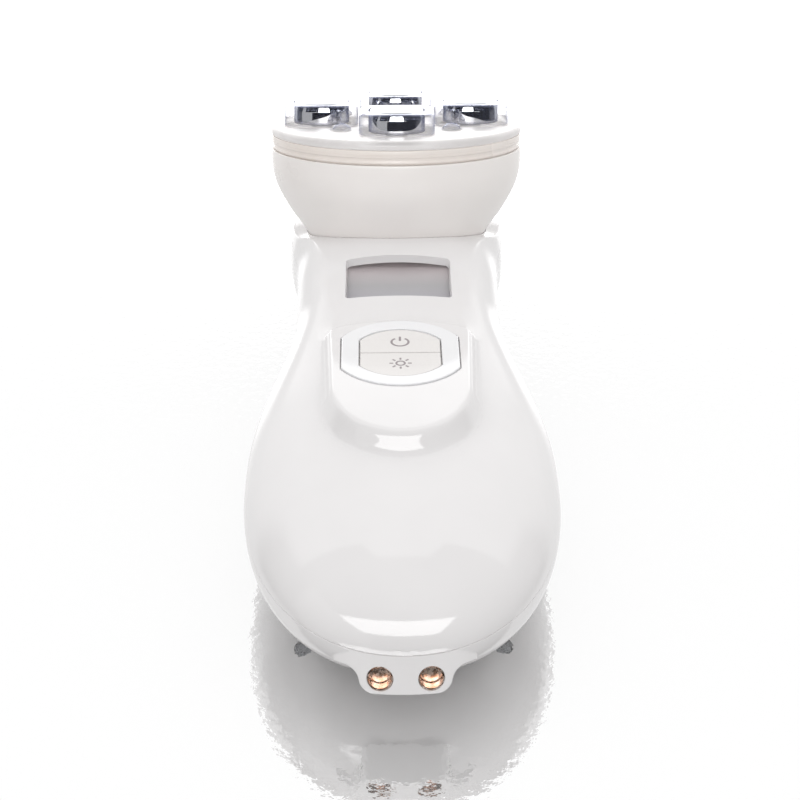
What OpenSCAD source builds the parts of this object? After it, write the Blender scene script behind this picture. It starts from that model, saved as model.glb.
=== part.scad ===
// Handheld facial toning device: a bulb-shaped grip, a neck with a display
// and a tilted round head with four electrodes. It lies on its back.
// +X is right, +Y runs from the charging tab to the head, +Z is the front.

/* [Body] */
// widest width of the grip
bulb_w = 68; // [64:1:72]
// height of the seam between the shells over the rest plane
seam_z = 20; // [19:0.5:21]
// height of the grip's dome over the seam
dome_h = 16; // [15:0.5:17]
// width of the neck at its narrowest
neck_w = 48.8; // [47:0.2:51]
// width of the rounded end under the head
pod_w = 54; // [53:0.5:56]
// wall thickness of both shells
wall = 2; // [1.8:0.1:2.2]

/* [Button mound] */
// width of the raised mound's flat top
mound_w = 29; // [28:0.2:31]
// radius of the ring round the keys
ring_r = 14.85; // [14.5:0.05:15]
// width of the ring, the same all round
ring_w = 3.85; // [3.6:0.05:4]
// how far the ring's flat sides are cut back from a full circle
flat_cut = 1.8; // [1.5:0.05:1.9]
// travel of each key
key_travel = 0.4; // [0.2:0.05:0.5]
// width of the fine lines round the ring and keys
line_gap = 0.3; // [0.2:0.05:0.35]

/* [Display] */
// width of the display opening
lcd_w = 26; // [24:0.5:27]
// height of the display opening along the neck
lcd_h = 16; // [14:0.5:16]

/* [Head] */
// outside diameter of the head
head_d = 61.5; // [60:0.5:62]
// tilt of the treatment face away from the tail
head_tilt = 19; // [18:0.5:20]
// side of an electrode
electrode_w = 13.4; // [12.5:0.1:13.6]
// side of the clear boss round an electrode
boss_w = 18; // [17:0.1:18.2]
// electrode distance from the head's axis, left and right
pitch_x = 18.3; // [18.1:0.1:18.6]
// electrode distance from the head's axis, front and rear
pitch_y = 15.3; // [15:0.1:17]

/* [Charging] */
// bore radius of each charging contact
socket_r = 2.2; // [2:0.05:2.3]
// depth of each charging contact
socket_l = 3.2; // [2.5:0.1:3.5]
// distance between the two charging contacts
socket_pitch = 10.2; // [9.6:0.1:10.4]

/* [Hidden] */

fine = 48;            // segments of round features
fit = 0.1;            // clearance between seated plastic pieces
slip = 0.05;          // radial clearance of pins, screws and plungers
white = [0.93, 0.93, 0.93];
warm = [0.90, 0.88, 0.86];
board_green = [0.10, 0.36, 0.20];
steel = [0.72, 0.73, 0.75];
copper = [0.72, 0.42, 0.22];

// ---- stations along the device, counted from the reference plane y = 0
wide_y = -7.5;        // where the grip is widest
tail_len = 50.4;      // from there to the tail end of the seam
tail_end = wide_y - tail_len;
dome_y = -10;         // where the dome starts to fall to the tail
dome_len = dome_y - tail_end + 0.1;
waist_y = 63;         // narrowest place of the neck
pod_y = 95;           // widest place of the rounded end
pod_len = 24.4;
half_bulb = bulb_w/2;
half_neck = neck_w/2;
half_pod = pod_w/2;
head_y = 96.57;       // centre of the head's rim circle
head_z = 49.92;
head_r = head_d/2;
head_tip = head_y + cos(head_tilt)*(head_r - 0.1) + sin(head_tilt)*4.9;
// charging tab, its face turned up by tab_tilt
tab_tilt = 20;
tab_out = 1.7;        // its face stands out past the seam's end
tab_y = tail_end - tab_out;
tab_z = seam_z - 4.6;
tab_w = 18.7;
tab_low = 3.4;
tail_tip = tab_y - tab_low*sin(tab_tilt);
y_mid = (tail_tip + head_tip)/2;

// smooth curve through a short list of [station, value] pairs
function at(t, s, i = 0) = i >= len(t) - 2 || s < t[i + 1][0] ? i : at(t, s, i + 1);
function rise(t, i) = i <= 0 || i >= len(t) - 1 ? 0 : (t[i + 1][1] - t[i - 1][1])/(t[i + 1][0] - t[i - 1][0]);
function smooth(t, s) = s <= t[0][0] ? t[0][1] : s >= t[len(t) - 1][0] ? t[len(t) - 1][1] :
  let (i = at(t, s), h = t[i + 1][0] - t[i][0], u = (s - t[i][0])/h)
  t[i][1]*(1 + 2*u)*(1 - u)*(1 - u) + t[i + 1][1]*u*u*(3 - 2*u)
  + h*rise(t, i)*u*(1 - u)*(1 - u) - h*rise(t, i + 1)*u*u*(1 - u);
function bow(u, n) = pow(max(0, 1 - pow(max(0, u), n)), 1/n);

// the grip narrows to the neck along an S-curve that leans towards the neck
taper_end = 54;
taper_lean = 1.4;
function taper(s) = let (u = pow(min(1, (s - wide_y)/(taper_end - wide_y)), taper_lean)) 1 - u*u*(3 - 2*u);
// half width in plan; o is the inset of the inner surface
pod_plan = [[waist_y + 3, 0], [75, 0.03], [84.7, 0.66], [pod_y, 1]];
function half_w(s, o) =
  s <= wide_y ? (half_bulb - o)*bow((wide_y - s)/(tail_len - o), 2.1) :
  s <= waist_y + 3 ? half_neck - o + (half_bulb - half_neck)*taper(s) :
  s <= pod_y ? half_neck - o + (half_pod - half_neck)*smooth(pod_plan, s) :
  (half_pod - o)*bow((s - pod_y)/(pod_len - o), 2);
// height of the widest line, and of the seam between the shells
function wide_z(s) = seam_z + smooth([[20, 0], [60, 1], [92, 2], [106, 0.6], [pod_y + pod_len, -2.5]], s);
function split_z(s) = wide_z(s) + smooth([[48, 0], [62, 1.6], [76, 5], [88, 5.4], [100, 2.4], [112, 0]], s);
// crest height before the neck panel is cut
crest = [[dome_y, 2], [15, 2.4], [30, 3], [45, 4.2], [60, 5.2], [75, 6], [88, 5], [pod_y, 3.5]];
function end_fall(s, o, n) = s <= pod_y ? 1 : bow((s - pod_y)/(pod_len - o), n);
function top_z(s, o) =
  s <= dome_y ? seam_z + (dome_h + crest[0][1] - o)*bow((dome_y - s)/(dome_len - o), 2) :
  s <= pod_y ? seam_z + dome_h - o + smooth(crest, s) :
  wide_z(s) + (seam_z + dome_h + 3.5 - o - wide_z(pod_y))*end_fall(s, o, 2);
function top_n(s) = smooth([[10, 2.05], [50, 2.3], [70, 2.65], [90, 2.6], [119, 2.2]], s);
// depth of the back below the widest line
belly = [[wide_y, 1.5], [20, 1], [45, -2], [60, -3], [76, 0.4], [88, 4], [pod_y, 4]];
function back_d(s, o) =
  s <= wide_y ? (seam_z + 1.5 - o)*bow((wide_y - s)/(tail_len - o), 2) :
  (seam_z + smooth(belly, s) - o)*end_fall(s, o, 2);
// crowned panel of the neck, and the face the head stands on
panel = [[30, 1.3], [46, 1.35], [58, 2.2], [68, 4.5], [74, 3.3], [84, -1.1], [96, -5.2], [108, -9.4], [119.4, -13.3]];
panel_r = [[40, 95], [60, 66], [69, 50], [82, 90], [119, 130]];
function panel_z(x, s) = s < 28 ? 99 : seam_z + dome_h + smooth(panel, s) - x*x/(2*smooth(panel_r, s));
function hull_z(x, s, o) = wide_z(s) + (top_z(s, o) - wide_z(s))*bow(x/half_w(s, o), top_n(s));
function skin_z(x, s, o) = min(hull_z(x, s, o), panel_z(x, s) - o);
// half width of the front at height z, and of the crease at the panel's edge
function hull_x(z, s, o) = half_w(s, o)*bow((z - wide_z(s))/(top_z(s, o) - wide_z(s)), top_n(s));
function crease(s, o, a, b, k) = k == 0 ? (a + b)/2 :
  let (m = (a + b)/2) hull_z(m, s, o) > panel_z(m, s) - o ? crease(s, o, m, b, k - 1) : crease(s, o, a, m, k - 1);
function edge_x(s, o) = let (c = crease(s, o, 0, hull_x(split_z(s), s, o), 16)) max(c, (s > pod_y ? 0.88 : 0.45)*half_w(s, o));

function turn(x, s, o, n) = acos(pow(min(1, x/half_w(s, o)), n/2));
function arc_x(a, s, o, n) = half_w(s, o)*pow(cos(a), 2/n);
n_side = 8;
n_top = 4;
// right half of a front section, from the seam up to the middle
function front_half(s, o) = let (n = top_n(s), xs = hull_x(split_z(s), s, o), xe = min(edge_x(s, o), xs*0.98),
  a0 = turn(xs, s, o, n), a1 = turn(xe, s, o, n))
  concat([[xs, split_z(s)]],
  [for (i = [1:n_side]) let (x = arc_x(a0 + (a1 - a0)*i/n_side, s, o, n)) [x, max(split_z(s) + 0.02*i, skin_z(x, s, o))]],
  [for (i = [1:n_top]) let (x = xe*(1 - i/n_top)) [x, skin_z(x, s, o)]]);
// right half of a back section, from the seam down to the middle
n_back = 9;
function back_half(s, o) = let (n = 2.3, xs = hull_x(split_z(s), s, o), d = back_d(s, o))
  concat([[xs, split_z(s)], [hull_x(wide_z(s) + (split_z(s) - wide_z(s))*0.5, s, o) + 0.001, wide_z(s) + (split_z(s) - wide_z(s))*0.5 - 0.002]],
  [for (i = [0:n_back]) let (a = 90*i/n_back)
    [half_w(s, o)*pow(cos(a), 2/n) + (i == n_back ? 0 : 0.002), max(o, wide_z(s) - 0.01 - d*pow(sin(a), 2/n))]]);
// a cavity section runs past the seam by skirt
function ring_of(h, s, skirt) = let (m = len(h) - 1, tip = skirt == 0 ? [] : [[h[0][0], s, h[0][1] + skirt]])
  concat(tip, [for (p = h) [p[0], s, p[1]]],
  [for (i = [m - 1:-1:0]) [-h[i][0], s, h[i][1]]],
  [for (p = tip) [-p[0], p[1], p[2]]]);

function tail_s(o) = [for (a = [86, 79, 71, 62, 52, 41, 29, 15]) wide_y - (tail_len - o)*sin(a)];
mid_s = [wide_y, 4, 15, 24, 30, 37, 44, 51, 58, 64, 69, 74, 80, 87, pod_y];
function pod_s(o) = [for (a = [19, 36, 52, 66, 78, 86]) pod_y + (pod_len - o)*sin(a)];
function stations(o) = concat(tail_s(o), mid_s, pod_s(o));

// skin over closed rings of equal length
module loft(rings, flip = false) {
  n = len(rings[0]);
  m = len(rings);
  caps = [[for (j = [0:n - 1]) j], [for (j = [n - 1:-1:0]) (m - 1)*n + j]];
  sides = [for (i = [0:m - 2], j = [0:n - 1]) let (k = (j + 1) % n)
    each [[i*n + j, (i + 1)*n + j, (i + 1)*n + k], [i*n + j, (i + 1)*n + k, i*n + k]]];
  all_faces = concat(caps, sides);
  polyhedron(points = [for (r = rings) each r],
    faces = flip ? [for (f = all_faces) [for (j = [len(f) - 1:-1:0]) f[j]]] : all_faces);
}
module front_solid(o, skirt) loft([for (s = stations(o)) ring_of(front_half(s, o), s, skirt)], true);
module back_solid(o, skirt) loft([for (s = stations(o)) ring_of(back_half(s, o), s, skirt)], false);

module placed() translate([0, -y_mid, 0]) children();

// ---- frames of the sloped parts
key_y = 21;
key_tilt = 5.4;
key_z = seam_z + dome_h + 5 - key_y*tan(key_tilt);
module at_keys() translate([0, key_y, key_z]) rotate([-key_tilt, 0, 0]) children();
lcd_y = 55;
lcd_z = panel_z(0, lcd_y);
lcd_tilt = atan((panel_z(0, lcd_y + 8) - panel_z(0, lcd_y - 8))/16);
module at_lcd() translate([0, lcd_y, lcd_z]) rotate([lcd_tilt, 0, 0]) children();
module at_head() translate([0, head_y, head_z]) rotate([-head_tilt, 0, 0]) children();

// ---- shared outlines
module flat_circle(r, cut) intersection() {
  circle(r = r, $fn = 2*fine);
  square([2*(r - cut), 2*r + 2], center = true);
}
module soft_rect(x, y, r) {
  square([x - 2*r, y], center = true);
  square([x, y - 2*r], center = true);
  for (i = [-1, 1], j = [-1, 1]) translate([i*(x/2 - r), j*(y/2 - r)]) circle(r = r, $fn = fine);
}
module rod(r, z0, z1) translate([0, 0, z0]) cylinder(r = r, h = z1 - z0, $fn = fine);

// ---- button mound; its flat top's outline, moved out by c
nose_y = -14;
nose_l = 18.9;
far_y = 10;
far_l = 5;
function mound_line(c) = concat(
  [for (a = [180:9:360]) [(mound_w/2 + 0.6*c)*cos(a), nose_y + (nose_l + c)*sin(a)]],
  [for (a = [0:18:180]) [(mound_w/2 + 0.8 + 0.6*c)*cos(a), far_y + (far_l + 0.6*c)*pow(max(0, sin(a)), 0.8)]]);
module mound_solid() {
  // sloping wall as [height, distance out]
  slope = [[-9, 4.6], [-4.6, 4.6], [-4, 4], [-3.1, 3.2], [-2.2, 2.6], [-1.3, 2], [-0.6, 1.4], [-0.15, 0.7], [0, 0]];
  loft([for (l = slope) [for (p = mound_line(l[1])) [p[0], p[1], l[0]]]]);
}
module mound_cavity() translate([0, 0, -14]) linear_extrude(14 - wall - 0.2) polygon(mound_line(0));

// key stack heights, counted from the mound's top face
ledge_z = -1;                       // ring's seat
ring_top = 0.35;
key_top = 0.15;
flange_t = 1.2;
seat_r = ring_r + line_gap;
open_r = ring_r - 2.2;
key_r = ring_r - ring_w - line_gap;
key_flange_r = open_r - 0.3;
board_top = -10.4;
board_t = 1.2;
switch_h = 3.4;
plunger_out = 1.3;
stem_z = board_top + switch_h + plunger_out;
switch_y = 5;
switch_w = 6;
plunger_r = 1.7;
key_stem_r = 2.1;

// ---- display stack, counted from the panel's middle
window_top = -2.4;
window_t = 1;
lcd_t = 2.4;
block_z = window_top - window_t - lcd_t;
pocket_x = lcd_w + 5.2;
pocket_y = lcd_h + 5.1;
block_y0 = -15.5;
block_y1 = pocket_y/2 + 0.1;
lcd_board_t = 1;
tiny_x = 12;
tiny_in = 2.4;                      // from the board's edge to its screws
module each_tiny() for (i = [-1, 1]) translate([i*tiny_x, block_y0 + tiny_in, 0]) children();

// ---- screws: shaft radius, head radius, head height
tap = [0.9, 1.8, 1.2];              // into the boards' posts
tap_l = 5.2;
tiny = [0.8, 1.6, 0.9];             // hold the display board
tiny_l = 3.4;
bowl_tap = [1.3, 2.4, 1.7];         // hold the bowl to the front shell
bowl_tap_l = 9;
closer = [1.25, 2.4, 1.8];          // close the two shells

// ---- closing screws
grip_screw = [21, -27];
grip_seat = 7;                      // height of the screw's seat
neck_screw = [19, 52];
neck_seat = 13;
screw_spots = [[grip_screw[0], grip_screw[1], grip_seat], [neck_screw[0], neck_screw[1], neck_seat]];
post_r = 3;
split_h = 5;                        // posts meet this far above the screw's seat
closer_l = split_h + 8;
module each_screw() for (p = screw_spots, i = [-1, 1]) translate([i*p[0], p[1], p[2]]) children();

// ---- main board
board_x = 32;
board_y0 = -26;
board_y1 = 22;
board_post = [[11, board_y0 + 7], [12.6, board_y1 - 11.5]];
board_post_r = 2.4;
module each_board_post() for (p = board_post, i = [-1, 1]) translate([i*p[0], p[1], 0]) children();

// ---- driver board in the rounded end
drv_z = 8;
drv_y = 89;
drv_x = 32;
drv_l = 26;
drv_t = 1.4;
drv_top = drv_z + drv_t;
drv_post = 3;                       // from the board's edges to its screws
module each_driver_post() for (i = [-1, 1], j = [-1, 1])
  translate([i*(drv_x/2 - drv_post), drv_y + j*(drv_l/2 - drv_post), 0]) children();

// ---- battery
tray_z = 7;
tray_t = 1.4;
cell_x = 32;
cell_y = 46;
cell_z = 9;
cell_c = -3;          // middle of the cell along the grip
cell_top = tray_z + tray_t + cell_z;
cell_end = cell_c + cell_y/2;
wire_r = 0.6;

// ---- head, heights counted along its axis from the rim circle
ring_h0 = 0.9;                      // cream ring between the bowl and the cap
ring_h1 = 3.9;
seat_h = -20.5;                     // end of the bowl's cone
skirt_r = 22;
floor_h = -21;
skirt_h = -23;
bowl_out = [[head_r, ring_h0], [head_r, -2.5], [head_r - 0.25, -5], [head_r - 1, -8], [head_r - 2.2, -10.7],
  [head_r - 3.7, -13.4], [head_r - 5, -15.5], [head_r - 6.6, -17.6], [skirt_r + 0.9, -19.4], [skirt_r + 0.25, seat_h],
  [skirt_r, -21.2]];
bowl_in = [[head_r - 2, ring_h0], [head_r - 2, -2.5], [head_r - 2.3, -5], [head_r - 3.1, -8], [head_r - 4.4, -10.7],
  [head_r - 6, -13.4], [head_r - 7.6, -15.5], [skirt_r - 2, -19.4], [skirt_r - 2, floor_h]];
cap_h = 6.17;
boss_h = 11.33;
bowl_up = [for (i = [len(bowl_out) - 1:-1:0]) bowl_out[i]];
well_r = skirt_r + slip;
well_t = 2;
// posts as [distance from the axis, angle]
bowl_post = [for (a = [30, 150, 270]) [skirt_r - 7, a]];
lamp_post = [for (a = [45:90:315]) [head_r - 6.75, a]];
board_h = -1;                       // underside of the lamp board
lamp_board_t = 1.4;
lamp_board_top = board_h + lamp_board_t;
board_r = head_r - 3.35;
bowl_post_h = -12;                  // top of the posts that take the bowl's screws
module around(list) for (p = list) rotate(p[1]) translate([p[0], 0, 0]) children();
spots = [[0, -pitch_y], [0, pitch_y], [-pitch_x, 0], [pitch_x, 0]];
pocket_h = cap_h + 0.25;
stem_r = 2.5;
stem_end = 2;
dome_x = 13.2;                      // the four small lenses, both ways from the axis
dome_r = 2.6;
chip_w = 2.8;
chip_h = 1.6;

// charging cups in the tab
cup_r = socket_r + 0.4;
cup_in = 0.7;
cup_floor = 0.8;
cup_tail_r = 1;
cup_tail = 9.2;                     // how deep its solder tail reaches
module at_tab() translate([0, tab_y, tab_z]) rotate([90 - tab_tilt, 0, 0]) children();
module each_socket() for (i = [-1, 1]) translate([i*socket_pitch/2, 0, 0]) children();

module front_shell() color(white) placed() difference() {
  union() {
    front_solid(0, 0);
    at_keys() mound_solid();
  }
  difference() {
    union() {
      front_solid(wall, -1);
      at_keys() mound_cavity();
    }
    // frame of the display pocket
    at_lcd() translate([-pocket_x/2 - 2, block_y0, block_z]) cube([pocket_x + 4, block_y1 - block_y0, 20]);
    // wall and floor of the well the head stands in
    at_head() rod(well_r + well_t, skirt_h - 2, skirt_h + 30);
    each_screw() rod(post_r, split_h, 40);
    at_keys() each_board_post() rod(board_post_r, board_top, 3);
  }
  // ring's seat and the keys' opening
  at_keys() translate([0, 0, ledge_z]) linear_extrude(4) flat_circle(seat_r, flat_cut);
  at_keys() translate([0, 0, -5]) linear_extrude(9) flat_circle(open_r, flat_cut);
  // display opening and pocket
  at_lcd() translate([0, 0, window_top - 0.5]) linear_extrude(9) soft_rect(lcd_w, lcd_h, 1);
  at_lcd() translate([-pocket_x/2, -pocket_y/2, block_z - 3]) cube([pocket_x, pocket_y, window_top - block_z + 3]);
  at_lcd() each_tiny() rod(tiny[0] + slip, block_z - lcd_board_t, -2);
  // the head's well, shaped like the bowl that stands in it, and the way for the wires
  at_head() rotate_extrude($fn = 2*fine)
    polygon(concat([[0, skirt_h], [well_r, skirt_h]], [for (p = bowl_up) [p[0] + slip, p[1]]], [[head_r + slip, 17], [0, 17]]));
  at_head() rod(9, skirt_h - 3, skirt_h + 1);
  at_head() around(bowl_post) rod(bowl_tap[0] + slip, skirt_h - 3, skirt_h + 1);
  each_screw() rod(closer[0] + slip, split_h - 1, closer_l + 1);
  at_keys() each_board_post() rod(tap[0] + slip, board_top - 1, board_top + tap_l - 0.2);
}

// how far the shell's plan curve falls back from its tip at x
function tip_fall(x) = tail_len*(1 - bow(abs(x)/half_bulb, 2.1))*cos(tab_tilt);
module tab_block() at_tab() intersection() {
  translate([0, 0, -9]) linear_extrude(9) difference() {
    union() {
      translate([-tab_w/2, -tab_low + 3]) square([tab_w, 9]);
      translate([-tab_w/2 + 3, -tab_low]) square([tab_w - 6, 9]);
      for (i = [-1, 1]) translate([i*(tab_w/2 - 3), -tab_low + 3]) circle(r = 3, $fn = fine);
      translate([-tab_w/2 - 3, 2]) square([tab_w + 6, 6]);
    }
    for (i = [-1, 1]) translate([i*(tab_w/2 + 3), 2]) circle(r = 3, $fn = fine);
  }
  // front face bent like the shell above it
  rotate([-90, 0, 0]) translate([0, 0, -9]) linear_extrude(18)
    polygon(concat([[14, 12], [-14, 12]], [for (x = [-14:2:14]) [x, tip_fall(x)]]));
}

module back_shell() color(white) placed() difference() {
  union() {
    difference() {
      back_solid(0, 0);
      difference() {
        back_solid(wall, 1);
        each_screw() rod(post_r, -10, split_h);
        each_driver_post() rod(drv_post - 0.7, 0, drv_z);
        for (i = [-1, 1], j = [-1, 1]) translate([i*(cell_x/2 - 6), cell_c + j*(cell_y/2 - 6), 0]) rod(2, 0, tray_z);
      }
    }
    // charging tab, held below the seam
    intersection() {
      tab_block();
      translate([-20, -70, 0]) cube([40, 30, split_z(-50)]);
    }
  }
  at_tab() each_socket() {
    rod(cup_r + slip, -socket_l - cup_floor - cup_in, 1);
    rod(cup_tail_r + slip, -cup_tail - 0.8, 0);
  }
  each_screw() {
    rod(closer[1] + 0.2, -20, 0);
    rod(closer[0] + slip, -1, split_h + 1);
  }
  each_driver_post() rod(tap[0] + slip, drv_top - tap_l - 0.4, drv_z + 1);
}

module display_window() color([0.80, 0.82, 0.84, 0.4]) placed() at_lcd()
  translate([-pocket_x/2 + fit, -pocket_y/2 + fit, window_top - window_t]) cube([pocket_x - 2*fit, pocket_y - 2*fit, window_t]);

module lcd_module() color([0.70, 0.69, 0.70]) placed() at_lcd()
  translate([-pocket_x/2 + fit, -pocket_y/2 + fit, block_z]) cube([pocket_x - 2*fit, pocket_y - 2*fit, lcd_t]);

module display_board() color(board_green) placed() at_lcd() difference() {
  translate([-pocket_x/2 + fit, block_y0, block_z - lcd_board_t]) cube([pocket_x - 2*fit, block_y1 - block_y0 - 0.6, lcd_board_t]);
  each_tiny() rod(tiny[0] + slip, block_z - 2*lcd_board_t, block_z + 1);
}

module pan_screw(kind, l) {
  rod(kind[1], -kind[2], 0);
  rod(kind[0], -0.01, l);
}
module display_screws() color(steel) placed() at_lcd() each_tiny()
  translate([0, 0, block_z - lcd_board_t]) pan_screw(tiny, tiny_l);

module button_bezel() color([0.96, 0.96, 0.96]) placed() at_keys() difference() {
  union() {
    translate([0, 0, ledge_z]) linear_extrude(ring_top - ledge_z - 0.3) flat_circle(ring_r, flat_cut);
    translate([0, 0, ledge_z]) linear_extrude(ring_top - ledge_z) flat_circle(ring_r - 0.35, flat_cut);
  }
  translate([0, 0, ledge_z - 1]) linear_extrude(5) flat_circle(ring_r - ring_w, flat_cut);
}

// one half key; side is +1 for the half towards the head
module half_key(side) {
  difference() {
    union() {
      translate([0, 0, ledge_z - 0.5]) linear_extrude(key_top - ledge_z + 0.5) flat_circle(key_r, flat_cut);
      translate([0, 0, ledge_z - flange_t]) linear_extrude(flange_t) flat_circle(key_flange_r, flat_cut);
    }
    translate([-20, side > 0 ? -40 + line_gap/2 : -line_gap/2, -5]) cube([40, 40, 10]);
  }
  translate([0, side*switch_y, 0]) rod(key_stem_r, stem_z, ledge_z - flange_t + 0.1);
}
module power_key() color([0.90, 0.90, 0.89]) placed() at_keys() half_key(1);
module led_select_key() color([0.90, 0.90, 0.89]) placed() at_keys() half_key(-1);

module switch_body(side) translate([0, side*switch_y, board_top]) difference() {
  translate([-switch_w/2, -switch_w/2, 0]) cube([switch_w, switch_w, switch_h]);
  rod(plunger_r + slip, switch_h - 1.2 - key_travel, switch_h + 1);
}
module switch_power() color([0.12, 0.12, 0.13]) placed() at_keys() switch_body(1);
module switch_led() color([0.12, 0.12, 0.13]) placed() at_keys() switch_body(-1);
module plunger(side) translate([0, side*switch_y, 0]) rod(plunger_r, board_top + switch_h - 1.1, stem_z);
module plunger_power() color([0.25, 0.12, 0.10]) placed() at_keys() plunger(1);
module plunger_led() color([0.25, 0.12, 0.10]) placed() at_keys() plunger(-1);

module main_board() color(board_green) placed() at_keys() difference() {
  translate([0, (board_y0 + board_y1)/2, board_top - board_t]) linear_extrude(board_t) soft_rect(board_x, board_y1 - board_y0, 2);
  each_board_post() rod(tap[0] + slip, board_top - 3, board_top + 1);
}
// controller, coil and charger chips as [x, y, width, length, height]
board_chips = [[-5, -16, 10, 10, 1.6], [-15, -9, 8, 8, 3], [8, -7, 6, 5, 1.4]];
module board_parts() color([0.13, 0.13, 0.14]) placed() at_keys() {
  for (c = board_chips) translate([c[0], c[1], board_top - board_t - c[4]]) cube([c[2], c[3], c[4]]);
  translate([6, 4, 0]) rod(3, board_top - board_t - 4, board_top - board_t);
  translate([0, board_y0 + 6, 0]) rod(4.5, board_top, board_top + 3);
}
module board_screws() color(steel) placed() at_keys() each_board_post()
  translate([0, 0, board_top - board_t]) pan_screw(tap, tap_l);

module battery_tray() color([0.20, 0.21, 0.23]) placed() translate([0, cell_c, tray_z]) difference() {
  translate([0, 0, 0]) linear_extrude(5) soft_rect(cell_x + 3, cell_y + 3, 3);
  translate([-cell_x/2 - fit, -cell_y/2 - fit, tray_t]) cube([cell_x + 2*fit, cell_y + 2*fit, 10]);
}
module battery() color([0.16, 0.34, 0.62]) placed() translate([-cell_x/2, cell_c - cell_y/2, tray_z + tray_t]) cube([cell_x, cell_y, cell_z]);

// round wire along a list of points, as one skin
function unit(v) = v/norm(v);
function heading(p, i) = let (n = len(p) - 1)
  i == 0 ? unit(p[1] - p[0]) : i == n ? unit(p[n] - p[n - 1]) : unit(unit(p[i] - p[i - 1]) + unit(p[i + 1] - p[i]));
module wire(p, r) loft([for (i = [0:len(p) - 1]) let (d = heading(p, i), u = unit(cross(d, [1, 0.02, 0])), v = cross(d, u))
  [for (a = [0:36:359]) p[i] + r*(cos(a)*u + sin(a)*v)]], true);
// a point on the main board's underside, in the common frame
function under_board(x, y, d = 0) = let (z = board_top - board_t - d) [x, key_y + y*cos(key_tilt) + z*sin(key_tilt), key_z - y*sin(key_tilt) + z*cos(key_tilt)];
function tab_point(x, d) = [x, tab_y + d*cos(tab_tilt), tab_z - d*sin(tab_tilt)];
module battery_leads() color([0.70, 0.12, 0.10]) placed() for (x = [-3, 3])
  wire([[x, cell_end, cell_top - 3], [x, cell_end + 2, cell_top - 3], [x, cell_end + 3.6, cell_top + 1], under_board(x, 8, 3), under_board(x, 8)], wire_r);

module charge_contact(i) at_tab() translate([i*socket_pitch/2, 0, -cup_in]) {
  difference() {
    rod(cup_r, -socket_l - cup_floor, 0);
    rod(socket_r, -socket_l, 1);
  }
  rod(cup_tail_r, cup_in - cup_tail, -socket_l - cup_floor/2);
}
module charge_contact_left() color(copper) placed() charge_contact(-1);
module charge_contact_right() color(copper) placed() charge_contact(1);
module charge_leads() color([0.15, 0.15, 0.16]) placed() for (i = [-1, 1])
  wire([tab_point(i*socket_pitch/2, cup_tail), tab_point(i*socket_pitch/2, cup_tail + 2), [i*7, tab_y + 17, tab_z + 2],
    [i*8, tab_y + 26, tab_z + 7], under_board(i*7, board_y0 + 4, 4), under_board(i*7, board_y0 + 4)], wire_r);

module driver_board() color(board_green) placed() difference() {
  translate([0, drv_y, drv_z]) linear_extrude(drv_t) soft_rect(drv_x, drv_l, 1.5);
  each_driver_post() rod(tap[0] + slip, drv_z - 1, drv_z + 3);
}
module driver_screws() color(steel) placed() each_driver_post() translate([0, 0, drv_top]) mirror([0, 0, 1]) pan_screw(tap, tap_l);
module rf_transformer() color([0.20, 0.18, 0.17]) placed() {
  translate([-6, drv_y - 10, drv_top]) cube([12, 10, 7]);
  translate([-7, drv_y - 9, drv_top + 2]) cube([14, 8, 3]);
  translate([6, drv_y + 5, drv_top]) cube([4, 5, 3]);
}
module driver_leads() color([0.20, 0.30, 0.60]) placed() for (x = [-13, 13])
  wire([under_board(x, board_y1 - 5), under_board(x, board_y1 - 5, 3), [x, 44, seam_z + 2], [x, 66, seam_z - 6],
    [x, drv_y - 7, drv_top + 4.5], [x, drv_y - 6, drv_top + 3], [x, drv_y - 6, drv_top]], wire_r);
function head_point(x, y, h) = [x, head_y + y*cos(head_tilt) + h*sin(head_tilt), head_z - y*sin(head_tilt) + h*cos(head_tilt)];
module head_leads() color([0.85, 0.85, 0.86]) placed() for (x = [-2, 2])
  wire([[x, drv_y + 4, drv_top], [x, drv_y + 4, drv_top + 4], head_point(x, 0, skirt_h - 1), head_point(x, 0, -8), head_point(x, 0, board_h)], wire_r + 0.1);

module head_bowl() color(warm) placed() at_head() difference() {
  rotate_extrude($fn = 2*fine) polygon(concat([[0, skirt_h], [skirt_r, skirt_h]], bowl_up, [[0, ring_h0]]));
  difference() {
    rotate_extrude($fn = 2*fine) polygon(concat([[0, floor_h]], [for (i = [len(bowl_in) - 1:-1:0]) bowl_in[i]], [[head_r - 2, 3], [0, 3]]));
    around(bowl_post) rod(3, skirt_h, bowl_post_h);
    around(lamp_post) rod(2.2, skirt_h, board_h);
  }
  rod(6, skirt_h - 1, floor_h + 1);
  around(bowl_post) rod(bowl_tap[0] + slip, skirt_h - 1, bowl_post_h - 1);
  around(lamp_post) rod(tap[0] + slip, lamp_board_top - tap_l - 0.4, board_h + 1);
}
module head_screws() color(steel) placed() at_head() around(bowl_post)
  translate([0, 0, skirt_h - 2]) pan_screw(bowl_tap, bowl_tap_l);

module head_trim_ring() color([0.92, 0.88, 0.85]) placed() at_head() rotate_extrude($fn = 2*fine)
  polygon([[head_r - 2.6, ring_h0], [head_r - 0.7, ring_h0], [head_r - 0.7, ring_h0 + 0.5], [head_r - 0.25, ring_h0 + 0.6],
    [head_r - 0.05, ring_h0 + 1], [head_r - 0.05, ring_h1], [head_r - 2.6, ring_h1]]);

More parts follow.
